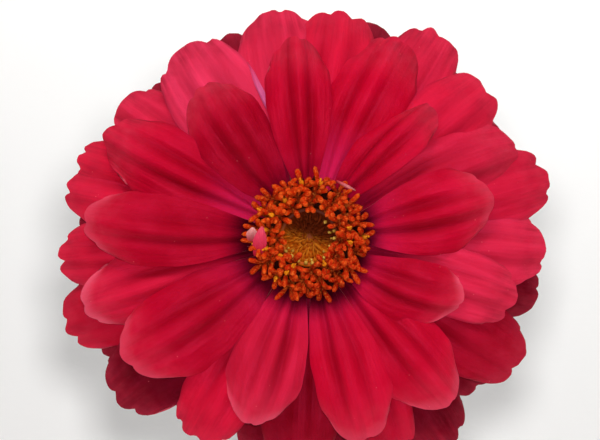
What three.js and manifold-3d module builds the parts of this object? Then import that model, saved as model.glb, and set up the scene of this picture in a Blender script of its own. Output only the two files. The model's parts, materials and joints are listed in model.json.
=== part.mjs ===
// A potted zinnia: one double bloom, tilted towards the viewer, on a leafy stem in a plain clay pot.
// Millimetres, +Z up, origin at the middle of the pot's flat underside, -Y is the front.
import * as THREE from "three";
import { mergeVertices } from "three/addons/utils/BufferGeometryUtils.js";
import Module from "manifold-3d";

const wasm = await Module();
wasm.setup();

// Driving dimensions

const GAP = 0.3; // between pieces that touch
const SMOOTH = 32; // facets round the pot and the soil
const POT = { height: 86, rimRadius: 51, baseRadius: 34, wall: 4, floor: 5, edge: 1.5 };
const COLLAR = { height: 22, step: 5 };
const DRAIN = { count: 4, radius: 4, ring: 20 };
const SOIL = { top: 76, dome: 3, lump: 0.9, holeDepth: 14 };
const STEM = { footRadius: 2.9, neckRadius: 1.7, sides: 7, steps: 16 };
const HEAD = { y: -16, z: 207, tilt: 45 }; // the bloom's middle, where the petals are rooted
const BLADE = 0.6; // thickness of a leaf or a petal
const RAY_ROOT = 5.6; // radius at which the ray petals are rooted
const DISC = { foot: 0.2, radius: 5.5, rim: 4.8, craterRadius: 3.7, craterFloor: 1.8 };
const CUSHION = { radius: 7.2, top: -0.1, bottom: -4.3 }; // what the ray petals grow from
const CUP = { top: CUSHION.bottom - GAP, bottom: -12, footRadius: 2.3 };

// A ray petal as the bloom shows it from the front: the angle of its tip (0 to the right, counted
// anticlockwise), how far the tip has turned from the root, reach from the bloom's axis, greatest
// width, extra rise at the root in degrees and roll about its own length in degrees.
const FRONT_PETALS = [
  { angle: 12, turn: 3, reach: 26.8, width: 11.8, rise: 5, roll: 4 },
  { angle: 23.5, turn: -3, reach: 32.2, width: 12.2, rise: -7, roll: 8 },
  { angle: 47, turn: -6, reach: 25.4, width: 8.4, rise: 6, roll: -24 },
  { angle: 65.5, turn: -5, reach: 31.2, width: 12.2, rise: -4, roll: -6 },
  { angle: 94, turn: 0, reach: 28.6, width: 9.4, rise: 6, roll: 0 },
  { angle: 125, turn: -2, reach: 26.4, width: 11.2, rise: 7, roll: 8 },
  { angle: 153, turn: -1, reach: 32.6, width: 10.8, rise: 1, roll: -4 },
  { angle: 175.5, turn: -3, reach: 32.4, width: 10.6, rise: 4, roll: 0 },
  { angle: 197, turn: 0, reach: 34.0, width: 10.4, rise: -5, roll: -6 },
  { angle: 213.5, turn: -3, reach: 31.6, width: 13.4, rise: 4, roll: 5 },
  { angle: 252, turn: 0, reach: 28.0, width: 10.8, rise: 5, roll: 0 },
  { angle: 285.5, turn: -1, reach: 30.4, width: 10.8, rise: 4, roll: 4 },
  { angle: 310.5, turn: 0, reach: 31.2, width: 11.6, rise: -3, roll: -5 },
  { angle: 337, turn: 9, reach: 23.9, width: 9.6, rise: 7, roll: 6 },
];
const MIDDLE_PETALS = [
  { angle: 14, turn: 0, reach: 35.2, width: 11.8, rise: 0, roll: 4 },
  { angle: 39.5, turn: 0, reach: 34.0, width: 11.8, rise: 1, roll: 0 },
  { angle: 57, turn: 0, reach: 34.8, width: 11.0, rise: 0, roll: -5 },
  { angle: 82, turn: 0, reach: 32.8, width: 11.5, rise: 0, roll: -4 },
  { angle: 98.5, turn: 0, reach: 32.8, width: 12.5, rise: 2, roll: 4 },
  { angle: 124, turn: 0, reach: 32.5, width: 13.2, rise: 1, roll: -3 },
  { angle: 145, turn: 0, reach: 33.2, width: 11.0, rise: 0, roll: 5 },
  { angle: 161, turn: 0, reach: 34.8, width: 9.5, rise: -4, roll: 4 },
  { angle: 169, turn: 0, reach: 35.3, width: 9.5, rise: 2, roll: 3 },
  { angle: 185, turn: 0, reach: 36.0, width: 10.0, rise: -3, roll: 0 },
  { angle: 200, turn: 0, reach: 37.2, width: 10.8, rise: -4, roll: -4 },
  { angle: 220, turn: 0, reach: 36.2, width: 12.4, rise: -5, roll: 0 },
  { angle: 240.5, turn: 0, reach: 33.4, width: 10.4, rise: 4, roll: 0 },
  { angle: 267, turn: 0, reach: 33.5, width: 11.0, rise: -4, roll: 0 },
  { angle: 291.5, turn: 0, reach: 33.5, width: 10.0, rise: -1, roll: 4 },
  { angle: 304.5, turn: 0, reach: 35.8, width: 11.0, rise: -6, roll: -4 },
  { angle: 328.5, turn: 0, reach: 35.4, width: 11.6, rise: -4, roll: 0 },
  { angle: 342.5, turn: 0, reach: 30.8, width: 9.8, rise: 4, roll: 4 },
  { angle: 356.5, turn: 0, reach: 34.0, width: 11.6, rise: -2, roll: 0 },
];
const BACK_REACHES = [
  [3.5, 30.5], [29, 31.5], [50, 32], [73.5, 31.8], [112, 31.2], [135, 31], [156, 32.5], [177, 33],
  [191.5, 34.2], [211, 34], [234, 31], [258, 32.5], [279, 33], [300, 34], [321, 33], [346, 33.8],
];
const BACK_WIDTH = 10;
const BACK_PETALS = BACK_REACHES.map(([angle, reach]) => (
  { angle, turn: 0, reach, width: BACK_WIDTH, rise: 0, roll: 0 }
));

// The three whorls: height of the lower roots, how much higher every second petal is rooted, pitch
// at root and tip in degrees, how far the sides curve down, how deep the two furrows are, the notch
// in the tip and the squares across and along.
const FRONT = {
  root: -1.2, stagger: 0.8, pitch: [34, -34], camber: 0.29, furrow: 0.3, notch: 0.01, squares: [4, 5],
};
const MIDDLE = {
  root: -2.9, stagger: 1.3, pitch: [22, -20], camber: 0.13, furrow: 0.25, notch: 0.04, squares: [4, 4],
};
const BACK = {
  root: -4.2, stagger: 1.0, pitch: [6, -20], camber: 0.05, furrow: 0, notch: 0.04, squares: [2, 4],
};
const PETAL_OUTLINE = [0.2, 0.45, 0.72, 0.92, 1.0, 0.98, 0.72]; // half widths, root to tip
const PETAL_ROUNDING = 0.17; // how far the corners of the tip fall back, as a share of the length
const PETAL_GUTTER = 0.4; // how far the sides turn up at the root, as a share of the half width
const ARCH_DELAY = 1.2; // above 1, a blade bends less near its root than near its tip

// Leaves in opposite pairs: height on the stem, direction, length, width and pitch at root and tip.
const LEAF_PAIRS = [
  { z: 150, angle: 84, length: 40, width: 14, pitch: [52, -30] },
  { z: 112, angle: -4, length: 50, width: 18, pitch: [44, -34] },
  { z: 98, angle: 94, length: 50, width: 18, pitch: [38, -34] },
  { z: 88, angle: 10, length: 40, width: 15, pitch: [34, -28] },
];
const LEAF_OUTLINE = [0.2, 0.78, 1.0, 0.95, 0.76, 0.48, 0.1];
const LEAF_FOLD = 0.35; // how far the two halves fold up from the midrib

// Side shoots from the leaf axils, each with small leaves and a closed bud.
const SHOOTS = [
  { z: 113, angle: -8, length: 25, pitch: 64, bud: 3.6 },
  { z: 113, angle: 172, length: 20, pitch: 66, bud: 3.0 },
  { z: 99, angle: 84, length: 36, pitch: 58, bud: 3.2 },
];
const SHOOT_LEAF = { length: 21, width: 8 };

const COLOURS = {
  pot: "#b5694a",
  soil: "#3b2a1f",
  stem: "#5f7d34",
  petals: "#c4123a",
  florets: "#d9480f",
  centre: "#8a5a1c",
};

// Helpers

const radians = THREE.MathUtils.degToRad;

// A closed geometry as a manifold-3d solid.
function solidOf(geometry) {
  const bare = geometry.index ? geometry.toNonIndexed() : geometry.clone();
  bare.deleteAttribute("normal");
  bare.deleteAttribute("uv");
  const merged = mergeVertices(bare, 1e-4);
  return new wasm.Manifold(new wasm.Mesh({
    numProp: 3,
    vertProperties: merged.attributes.position.array,
    triVerts: new Uint32Array(merged.index.array),
  }));
}

function geometryOf(solid) {
  const mesh = solid.getMesh();
  const geometry = new THREE.BufferGeometry();
  geometry.setAttribute("position", new THREE.BufferAttribute(mesh.vertProperties, 3));
  geometry.setIndex(new THREE.BufferAttribute(mesh.triVerts, 1));
  geometry.computeVertexNormals();
  return geometry;
}

// All the geometries joined in one solid, with any pocket that they seal filled.
function fused(geometries) {
  const shells = wasm.Manifold.union(geometries.map(solidOf)).decompose();
  return shells.reduce((largest, shell) => (shell.volume() > largest.volume() ? shell : largest));
}

function meshOf(name, geometry, color, roughness) {
  const mesh = new THREE.Mesh(geometry, new THREE.MeshStandardMaterial({ color, roughness, metalness: 0 }));
  mesh.name = name;
  return mesh;
}

// A profile of [radius, height] points turned about +Z.
function turned(profile, segments) {
  const points = profile.map(([radius, height]) => new THREE.Vector2(radius, height));
  return new THREE.LatheGeometry(points, segments).rotateX(Math.PI / 2);
}

// A smooth value at share t of evenly spaced ones.
function along(values, t) {
  const x = THREE.MathUtils.clamp(t, 0, 1) * (values.length - 1);
  const i = Math.min(Math.floor(x), values.length - 2);
  const at = (k) => values[THREE.MathUtils.clamp(k, 0, values.length - 1)];
  const [a, b, c, d] = [at(i - 1), at(i), at(i + 1), at(i + 2)];
  const f = x - i;
  return b + 0.5 * f * (c - a + f * (2 * a - 5 * b + 4 * c - d + f * (3 * (b - c) + d - a)));
}

// A thin blade over a grid. point(u, v, side) gives each corner, with u from -1 to 1 across, v from
// 0 to 1 along and side 1 on the upper face, -1 on the lower one. Both faces are split alike.
function blade(across, along, point) {
  const positions = [];
  const index = [];
  const row = across + 1;
  const layer = row * (along + 1);
  for (const side of [1, -1])
    for (let j = 0; j <= along; j++)
      for (let i = 0; i <= across; i++) positions.push(...point((2 * i) / across - 1, j / along, side));
  const quad = (a, b, c, d) => index.push(a, b, c, a, c, d);
  for (let j = 0; j < along; j++)
    for (let i = 0; i < across; i++) {
      const upper = j * row + i;
      const lower = upper + layer;
      quad(upper, upper + row, upper + row + 1, upper + 1);
      index.push(lower, lower + row + 1, lower + row, lower, lower + 1, lower + row + 1);
    }
  const wall = (a, b) => quad(a, b, b + layer, a + layer);
  for (let i = 0; i < across; i++) {
    wall(i, i + 1);
    wall(along * row + i + 1, along * row + i);
  }
  for (let j = 0; j < along; j++) {
    wall(j * row + across, (j + 1) * row + across);
    wall((j + 1) * row, j * row);
  }
  const geometry = new THREE.BufferGeometry();
  geometry.setAttribute("position", new THREE.Float32BufferAttribute(positions, 3));
  geometry.setIndex(index);
  return geometry;
}

// A tapered round limb along a curve: a closed cylinder bent to it.
function limb(curve, radiusAt, sides, steps) {
  const geometry = new THREE.CylinderGeometry(1, 1, 1, sides, steps);
  const position = geometry.attributes.position;
  const spot = new THREE.Vector3();
  for (let i = 0; i < position.count; i++) {
    spot.fromBufferAttribute(position, i);
    const t = THREE.MathUtils.clamp(spot.y + 0.5, 0, 1);
    const tangent = curve.getTangent(t);
    const side = new THREE.Vector3(1, 0, 0).addScaledVector(tangent, -tangent.x).normalize();
    const front = side.clone().cross(tangent);
    const place = curve.getPoint(t);
    const radius = radiusAt(t);
    place.addScaledVector(side, spot.x * radius).addScaledVector(front, spot.z * radius);
    position.setXYZ(i, place.x, place.y, place.z);
  }
  return geometry;
}

// The pitch in radians at share t of something that arches.
function pitchAt([rootPitch, tipPitch], t) {
  return radians(rootPitch + (tipPitch - rootPitch) * Math.pow(t, ARCH_DELAY));
}

// The middle line of something that arches: [distance out, height] at share t of its length.
function arch(length, pitch, t) {
  const STEPS = 12;
  const place = [0, 0];
  for (let k = 0; k < STEPS; k++) {
    const slope = pitchAt(pitch, ((k + 0.5) / STEPS) * t);
    place[0] += (length * t * Math.cos(slope)) / STEPS;
    place[1] += (length * t * Math.sin(slope)) / STEPS;
  }
  return place;
}

// The bloom, about its own axis, with its face to +Z

function petalPoint(petal, whorl, raised, u, v, side) {
  const pitch = [whorl.pitch[0] + petal.rise, whorl.pitch[1]];
  const length = (petal.reach - RAY_ROOT) / arch(1, pitch, 1)[0];
  const rounding = PETAL_ROUNDING * u * u * Math.pow(v, 3);
  const nick = whorl.notch * Math.pow(v, 8) * Math.cos(Math.PI * u) ** 2 * (1 - u * u);
  const t = v * (1 - rounding - nick);
  const [out, up] = arch(length, pitch, t);
  const slope = pitchAt(pitch, t);
  const angle = radians(petal.angle - petal.turn * (1 - t * t));
  const outward = new THREE.Vector3(Math.cos(angle), Math.sin(angle), 0);
  const sideways = new THREE.Vector3(-Math.sin(angle), Math.cos(angle), 0);
  const normal = new THREE.Vector3(0, 0, Math.cos(slope)).addScaledVector(outward, -Math.sin(slope));
  const roll = radians(petal.roll) * Math.min(1, 2 * t);
  const half = (petal.width / 2) * along(PETAL_OUTLINE, v);
  const sides = half * u * u * (PETAL_GUTTER * (1 - v) ** 2 - whorl.camber * (0.4 + v));
  const furrowDepth = whorl.furrow * Math.sin(Math.PI * Math.min(1, 1.1 * v));
  const furrows = furrowDepth * Math.cos(1.5 * Math.PI * u) * (1 - u * u);
  const x = u * half;
  const y = sides + furrows + (side * BLADE) / 2;
  return new THREE.Vector3(0, 0, whorl.root + (raised ? whorl.stagger : 0) + up)
    .addScaledVector(outward, RAY_ROOT + out)
    .addScaledVector(sideways, x * Math.cos(roll) - y * Math.sin(roll))
    .addScaledVector(normal, x * Math.sin(roll) + y * Math.cos(roll));
}

// The petals of a whorl lie alternately lower and higher.
function whorlGeometries(petals, whorl) {
  return petals.map((petal, k) => (
    blade(...whorl.squares, (u, v, side) => petalPoint(petal, whorl, k % 2 === 1, u, v, side))
  ));
}

// The ray petals of the three whorls, fused to the cushion that they grow from.
function rayPetals() {
  const { radius, top, bottom } = CUSHION;
  const cushion = turned([
    [0, bottom], [radius - 0.8, bottom], [radius, bottom + 0.8], [radius, -2.2], [RAY_ROOT, top], [0, top],
  ], 20);
  return fused([
    cushion,
    ...whorlGeometries(FRONT_PETALS, FRONT),
    ...whorlGeometries(MIDDLE_PETALS, MIDDLE),
    ...whorlGeometries(BACK_PETALS, BACK),
  ]);
}

// Open disc florets, each a short trumpet that spreads in five velvety lobes.
const FLORET_RINGS = [
  { count: 12, radius: 6.8, height: 3.6, lean: 30, reach: 2.4 },
  { count: 8, radius: 5.0, height: 4.1, lean: 4, reach: 2.1 },
];
const LOBES = 5;
const LOBE_NOTCH = 0.42; // radius between two lobes, as a share of their reach
const FLORET_TURN = 0.37; // each floret is turned this much more than the last, in radians

function floretGeometry({ radius, height, lean, reach }, heading, turn) {
  const trumpet = turned([[0, -0.6], [0.7, -0.2], [reach, 1.1], [reach * 0.92, 1.75], [0, 0.9]], 2 * LOBES);
  const position = trumpet.attributes.position;
  for (let i = 0; i < position.count; i++) {
    const [x, y] = [position.getX(i), position.getY(i)];
    const step = Math.round((Math.atan2(y, x) + Math.PI / 2) / (Math.PI / LOBES));
    const onLobes = Math.hypot(x, y) > 1;
    if (onLobes && step % 2 !== 0) position.setXY(i, x * LOBE_NOTCH, y * LOBE_NOTCH);
  }
  trumpet.rotateZ(turn).rotateY(radians(lean)).translate(radius, 0, height);
  return trumpet.rotateZ(heading);
}

function discFlorets() {
  const { foot, radius, rim, craterRadius } = DISC;
  const ring = turned([
    [craterRadius, foot], [radius, foot], [radius + 1.1, rim - 1.4], [radius - 0.2, rim - 0.2],
    [craterRadius + 0.5, rim - 0.4], [craterRadius, rim - 1.4], [craterRadius, foot],
  ], 24);
  const florets = FLORET_RINGS.flatMap((floretRing, ringNumber) =>
    Array.from({ length: floretRing.count }, (_, k) => {
      const heading = (2 * Math.PI * (k + 0.5 * ringNumber)) / floretRing.count;
      return floretGeometry(floretRing, heading, FLORET_TURN * k);
    }));
  return fused([ring, ...florets]);
}

// The crater in the middle: unopened florets and dry scales that lean to the axis.
const KNOBS = { count: 15, width: 0.6, lean: 16, sunk: 0.9, spiral: 137.5 };

function discCentre() {
  const reach = DISC.craterRadius - GAP;
  const floor = DISC.craterFloor;
  const bed = turned([
    [0, DISC.foot], [reach, DISC.foot], [reach, floor], [1.4, floor - 0.5], [0, floor - 0.7],
  ], 16);
  const knobs = Array.from({ length: KNOBS.count }, (_, k) => {
    const radius = (reach - KNOBS.width) * Math.sqrt((k + 0.5) / KNOBS.count);
    const height = 1.3 + 0.35 * radius;
    const knob = turned([[0, 0], [KNOBS.width * 0.8, 0], [KNOBS.width, height * 0.7], [0, height]], 4);
    knob.rotateY(radians(-KNOBS.lean)).translate(radius, 0, floor - KNOBS.sunk);
    return knob.rotateZ(radians(KNOBS.spiral * k));
  });
  return fused([bed, ...knobs]);
}

// The stem, its leaves and the cup of bracts that carries the bloom

const tilt = radians(HEAD.tilt);
const faceDirection = new THREE.Vector3(0, -Math.sin(tilt), Math.cos(tilt));
const headPlace = new THREE.Vector3(0, HEAD.y, HEAD.z);
const behindHead = (distance) => headPlace.clone().addScaledVector(faceDirection, -distance);

const stemCurve = new THREE.CatmullRomCurve3([
  new THREE.Vector3(0, 0, SOIL.top - SOIL.holeDepth + 1),
  new THREE.Vector3(0, 0.5, 90),
  new THREE.Vector3(-1, 2.5, 120),
  new THREE.Vector3(0.8, 5, 150),
  new THREE.Vector3(0, 6, 175),
  behindHead(8 - CUP.bottom),
  behindHead(-1 - CUP.bottom),
]);

// The green cup under the bloom: scale-like bracts in overlapping rows, each row ending in a lip
// scalloped by the bracts' round tips. The rows run from the stem upwards: [radius, height] of the
// lip, the step in from it to the next row, and how far the row is turned, in bracts.
const BRACTS = { count: 11, tip: 0.9, flare: 0.06, thickness: 0.35 };
const BRACT_ROWS = [
  { lip: [5.0, -10.0], step: 0.55, turn: 0.0 },
  { lip: [6.9, -7.7], step: 0.55, turn: 0.5 },
  { lip: [7.9, -4.7], step: 0.7, turn: 0.0 },
];

function bractCupGeometry() {
  const profile = [[0, CUP.bottom], [CUP.footRadius, CUP.bottom]];
  const rowOf = [null, null];
  for (const row of BRACT_ROWS) {
    const [radius, height] = row.lip;
    profile.push([radius - BRACTS.thickness, height - 0.7], row.lip, [radius - row.step, height + 0.1]);
    rowOf.push(row, row, null);
  }
  profile.push([0, CUP.top]);
  rowOf.push(null);
  const cup = turned(profile, 3 * BRACTS.count);
  const position = cup.attributes.position;
  for (let i = 0; i < position.count; i++) {
    const row = rowOf[i % profile.length];
    if (!row) continue;
    const [x, y, z] = [position.getX(i), position.getY(i), position.getZ(i)];
    const share = (BRACTS.count * Math.atan2(y, x)) / (2 * Math.PI) + row.turn;
    const scallop = BRACTS.tip * (Math.abs(Math.cos(Math.PI * share)) - 0.9);
    const flare = 1 + BRACTS.flare * scallop;
    position.setXYZ(i, x * flare, y * flare, z + scallop);
  }
  return cup.rotateX(tilt).translate(headPlace.x, headPlace.y, headPlace.z);
}

// Where the stem is at a given height.
function stemAt(z) {
  const STEPS = 200;
  for (let k = 0; k <= STEPS; k++) {
    const place = stemCurve.getPoint(k / STEPS);
    if (place.z >= z) return place;
  }
  return stemCurve.getPoint(1);
}

function leafGeometry(root, angle, length, width, pitch, across, steps) {
  const turn = radians(angle);
  const outward = new THREE.Vector3(Math.cos(turn), Math.sin(turn), 0);
  const sideways = new THREE.Vector3(-Math.sin(turn), Math.cos(turn), 0);
  return blade(across, steps, (u, v, side) => {
    const [out, up] = arch(length, pitch, v);
    const slope = pitchAt(pitch, v);
    const normal = new THREE.Vector3(0, 0, Math.cos(slope)).addScaledVector(outward, -Math.sin(slope));
    const half = (width / 2) * along(LEAF_OUTLINE, v);
    const fold = half * Math.abs(u) * LEAF_FOLD * (1 - 0.4 * v);
    return root.clone()
      .addScaledVector(outward, out)
      .addScaledVector(sideways, u * half)
      .addScaledVector(normal, fold + (side * BLADE) / 2)
      .add(new THREE.Vector3(0, 0, up));
  });
}

// A pair of opposite leaves at a place on a stem.
function leafPair(place, { angle, length, width, pitch }, across, steps) {
  return [0, 180].map((half) => leafGeometry(place, angle + half, length, width, pitch, across, steps));
}

// A side shoot: a thin stem that bends up, with two pairs of small leaves and a closed bud.
function shootGeometries({ z, angle, length, pitch, bud }) {
  const root = stemAt(z);
  const turn = radians(angle);
  const slope = radians(pitch);
  const outward = new THREE.Vector3(Math.cos(turn), Math.sin(turn), 0);
  const tip = root.clone().addScaledVector(outward, length * Math.cos(slope));
  tip.z += length * Math.sin(slope);
  const middle = root.clone().lerp(tip, 0.5).addScaledVector(outward, length * 0.1);
  const curve = new THREE.QuadraticBezierCurve3(root, middle, tip);
  const budPoints = [[0, -bud], [bud * 0.8, -bud * 0.6], [bud, 0], [bud * 0.7, bud * 0.6], [0, bud * 0.75]];
  const pairs = [0.5, 0.86].flatMap((share, k) => leafPair(curve.getPoint(share), {
    angle: angle + 90 + 90 * k,
    length: SHOOT_LEAF.length * (1 - 0.25 * k),
    width: SHOOT_LEAF.width * (1 - 0.25 * k),
    pitch: [50, -20],
  }, 2, 3));
  return [
    limb(curve, (t) => 1.3 - 0.4 * t, 5, 4),
    turned(budPoints, 8).translate(tip.x, tip.y, tip.z + bud * 0.7),
    ...pairs,
  ];
}

function leafyStem() {
  const thickness = (t) => THREE.MathUtils.lerp(STEM.footRadius, STEM.neckRadius, t);
  return fused([
    limb(stemCurve, thickness, STEM.sides, STEM.steps),
    ...LEAF_PAIRS.flatMap((pair) => leafPair(stemAt(pair.z), pair, 4, 5)),
    ...SHOOTS.flatMap(shootGeometries),
    bractCupGeometry(),
  ]);
}

// The pot and its soil

function innerRadius(z) {
  const slope = (POT.rimRadius - COLLAR.step - POT.baseRadius) / (POT.height - COLLAR.height);
  return POT.baseRadius + slope * z - POT.wall;
}

function potGeometry() {
  const { height, rimRadius, baseRadius, floor, edge } = POT;
  const collarFoot = height - COLLAR.height;
  const shell = solidOf(turned([
    [0, 0], [baseRadius - edge, 0], [baseRadius, edge], [rimRadius - COLLAR.step, collarFoot],
    [rimRadius - edge, collarFoot], [rimRadius, collarFoot + edge], [rimRadius, height - edge],
    [rimRadius - edge, height], [innerRadius(height), height], [innerRadius(floor), floor], [0, floor],
  ], SMOOTH));
  const drains = Array.from({ length: DRAIN.count }, (_, k) => {
    const turn = 2 * Math.PI * ((k + 0.5) / DRAIN.count);
    const hole = new THREE.CylinderGeometry(DRAIN.radius, DRAIN.radius, 3 * floor, 12).rotateX(Math.PI / 2);
    return solidOf(hole.translate(DRAIN.ring * Math.cos(turn), DRAIN.ring * Math.sin(turn), 0));
  });
  return shell.subtract(wasm.Manifold.union(drains));
}

// Potting soil: fills the pot to under its rim, lumpy on top, with a plain hole for the stem.
function soilGeometry() {
  const { top, dome, lump, holeDepth } = SOIL;
  const bottom = POT.floor + GAP;
  const edge = innerRadius(top) - GAP;
  const soil = turned([
    [0, bottom], [innerRadius(bottom) - GAP, bottom], [edge, top - 1.5], [edge * 0.86, top],
    [edge * 0.6, top + dome / 2], [edge * 0.3, top + dome], [edge * 0.12, top + dome], [0, top + dome],
  ], SMOOTH);
  const position = soil.attributes.position;
  for (let i = 0; i < position.count; i++) {
    const [x, y, z] = [position.getX(i), position.getY(i), position.getZ(i)];
    const radius = Math.hypot(x, y);
    if (z < top - 1 || radius < 1) continue;
    const nearWall = Math.min(1, (edge - radius) / 6);
    position.setZ(i, z + lump * nearWall * Math.sin(0.9 * x + 1.3) * Math.cos(1.1 * y));
  }
  const holeRadius = STEM.footRadius + GAP;
  const holeHeight = holeDepth + 2 * dome;
  const hole = new THREE.CylinderGeometry(holeRadius + 0.2, holeRadius, holeHeight, 12).rotateX(Math.PI / 2);
  hole.translate(0, 0.2, top - holeDepth + holeHeight / 2);
  return solidOf(soil).subtract(solidOf(hole));
}

// Assembly

const bloom = new THREE.Group();
bloom.add(
  meshOf("ray_petals", geometryOf(rayPetals()), COLOURS.petals, 0.6),
  meshOf("disc_florets", geometryOf(discFlorets()), COLOURS.florets, 0.55),
  meshOf("disc_centre", geometryOf(discCentre()), COLOURS.centre, 0.8),
);
bloom.position.copy(headPlace);
bloom.rotation.x = tilt;

const plant = new THREE.Group();
plant.add(
  meshOf("pot", geometryOf(potGeometry()), COLOURS.pot, 0.85),
  meshOf("soil", geometryOf(soilGeometry()), COLOURS.soil, 1.0),
  meshOf("leafy_stem", geometryOf(leafyStem()), COLOURS.stem, 0.6),
  bloom,
);

export default plant;
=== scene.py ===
# %% [markdown]
# # A potted zinnia with one open bloom
# This is a compact bedding zinnia: a clay pot, soil, a leafy stem, and one double crimson bloom that
# is turned up to the viewer. A plain frame already gives every piece its real size and place. Here
# each plain piece is replaced by a finer one with a finish. All the pieces are made in place, in
# metres, so nothing has to be fitted at the end.

# %% Load the frame
import json
import math
import random
from collections import namedtuple

import bmesh
import bpy
from mathutils import Matrix, Vector, noise

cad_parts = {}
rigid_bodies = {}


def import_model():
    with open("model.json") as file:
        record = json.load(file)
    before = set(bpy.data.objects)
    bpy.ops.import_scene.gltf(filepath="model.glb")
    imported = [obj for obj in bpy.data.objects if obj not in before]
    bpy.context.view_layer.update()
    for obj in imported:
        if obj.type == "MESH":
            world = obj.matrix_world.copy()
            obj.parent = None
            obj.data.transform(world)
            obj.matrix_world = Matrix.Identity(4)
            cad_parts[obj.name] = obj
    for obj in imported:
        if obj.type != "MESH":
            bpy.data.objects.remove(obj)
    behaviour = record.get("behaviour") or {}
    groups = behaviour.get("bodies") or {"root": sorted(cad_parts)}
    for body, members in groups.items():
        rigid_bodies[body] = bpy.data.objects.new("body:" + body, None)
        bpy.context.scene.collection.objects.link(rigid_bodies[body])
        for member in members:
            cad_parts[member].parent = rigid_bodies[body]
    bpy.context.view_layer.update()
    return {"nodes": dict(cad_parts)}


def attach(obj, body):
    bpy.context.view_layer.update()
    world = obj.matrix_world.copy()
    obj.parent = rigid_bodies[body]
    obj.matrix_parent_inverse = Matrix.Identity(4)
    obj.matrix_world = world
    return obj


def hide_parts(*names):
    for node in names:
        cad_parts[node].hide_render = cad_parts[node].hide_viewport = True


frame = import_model()
print("plain nodes:", ", ".join(sorted(frame["nodes"])))

# %% [markdown]
# ## The bloom's own frame
# The bloom faces up and forwards at 45 degrees. It is far easier to think of it lying flat, with its
# face to +Z and its middle at the origin, in millimetres. One matrix then carries it to its place.

# %% Place of the bloom
MM = 0.001
HEAD_MIDDLE = Vector((0, -16, 207))
HEAD_TILT = math.radians(45)
in_millimetres = Matrix.Scale(MM, 4)
bloom_place = in_millimetres @ Matrix.Translation(HEAD_MIDDLE) @ Matrix.Rotation(HEAD_TILT, 4, "X")
print("middle of the bloom in metres:", tuple(round(x, 4) for x in bloom_place.translation))

# %% [markdown]
# ## Camera
# The bloom is seen along its own axis, 7 pixels for each millimetre, with its middle a little below
# and to the right of the picture's middle. A long lens keeps the petals' proportions. The frame is
# 600 pixels wide, so the lens follows from the distance.

# %% Aim the camera down the bloom's axis
FRAME_WIDTH = 600
PIXELS_PER_MM = 7
CAMERA_DISTANCE = 2400
SENSOR_WIDTH = 36
bloom_pixels_off_middle = Vector((9, -17))

aim = -bloom_pixels_off_middle / PIXELS_PER_MM
camera_data = bpy.data.cameras.new("bloom_camera")
camera_data.sensor_width = SENSOR_WIDTH
camera_data.lens = SENSOR_WIDTH * CAMERA_DISTANCE * PIXELS_PER_MM / FRAME_WIDTH
camera_data.clip_start = 0.01
camera = bpy.data.objects.new("bloom_camera", camera_data)
bpy.context.scene.collection.objects.link(camera)
camera.matrix_world = (
    Matrix.Translation(bloom_place @ Vector((aim.x, aim.y, CAMERA_DISTANCE)))
    @ Matrix.Rotation(HEAD_TILT, 4, "X")
)
bpy.context.scene.camera = camera
print("lens in mm:", round(camera_data.lens, 1))

# %% [markdown]
# ## Lights
# Most of the picture's light comes from the front, so a small lamp stands far off, nearly on the
# camera's axis. It throws the soft shadow that rims the bloom on the ground. A spot over the bloom
# shines across the petals and shows their furrows, and its warm tint keeps the crimson warm. A wide
# ceiling light and a small low one behind the bloom brighten the ground. The Standard view transform
# keeps the crimson as saturated as it is; a filmic one would wash it out.

# %% Lamps for the bloom
def hang_light(name, kind, watts, place, target, tint=(1, 1, 1)):
    """A light at a place, turned to a target, that the camera doesn't see."""
    data = bpy.data.lights.new(name, kind)
    data.energy = watts
    data.color = tint
    light = bpy.data.objects.new(name, data)
    bpy.context.scene.collection.objects.link(light)
    turn = (target - place).to_track_quat("-Z", "Y").to_matrix().to_4x4()
    light.matrix_world = Matrix.Translation(place) @ turn
    light.visible_camera = False
    print(name, "at", tuple(round(x, 2) for x in place))
    return data


KEY_WATTS = 2.5
KEY_PLACE = bloom_place @ (400 * Vector((-0.16, 0.82, 0.78)).normalized())
KEY_TINT = (1.0, 0.985, 0.96)
FRONT_WATTS = 18
FRONT_PLACE = bloom_place @ (1600 * Vector((0.003, 0.02, 1.0)).normalized())

bloom_middle = bloom_place.translation
key_light = hang_light("key_light", "SPOT", KEY_WATTS, KEY_PLACE, bloom_middle, KEY_TINT)
key_light.spot_size = math.radians(32)
key_light.spot_blend = 0.8
key_light.shadow_soft_size = 0.08
front_light = hang_light("front_light", "AREA", FRONT_WATTS, FRONT_PLACE, bloom_middle)
front_light.size = 0.044

# %% Lamps for the ground
CEILING_WATTS = 12
CEILING_PLACE = Vector((0.4, 0.3, 2.6))
FLOOR_WATTS = 0.3
FLOOR_PLACE = Vector((0.02, 0.33, 0.17))
FLOOR_TARGET = Vector((0.02, 0.3, 0))

ceiling_light = hang_light("ceiling_light", "AREA", CEILING_WATTS, CEILING_PLACE, Vector((0, 0, 0)))
ceiling_light.size = 1.6
floor_light = hang_light("floor_light", "AREA", FLOOR_WATTS, FLOOR_PLACE, FLOOR_TARGET)
floor_light.size = 0.15

# %% The pale room
ROOM_COLOUR = (0.95, 0.97, 1.0, 1)
ROOM_STRENGTH = 0.1
world = bpy.data.worlds.new("pale_room")
world.use_nodes = True
room = world.node_tree.nodes["Background"]
room.inputs["Color"].default_value = ROOM_COLOUR
room.inputs["Strength"].default_value = ROOM_STRENGTH
bpy.context.scene.world = world
bpy.context.scene.view_settings.view_transform = "Standard"
print("room:", world.name, "view transform:", bpy.context.scene.view_settings.view_transform)

# %% [markdown]
# ## Small tools for the materials
# Each material is a tree of nodes. These helpers keep the trees short to write, and they all work in
# the tree that was opened last: `add` places a node with its settings and inputs, `ramp` blends a few
# colours along a value, and `layers` lays thin coats of colour over each other. `paint` reads a
# colour as a painter's 0 to 255 values.

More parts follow.
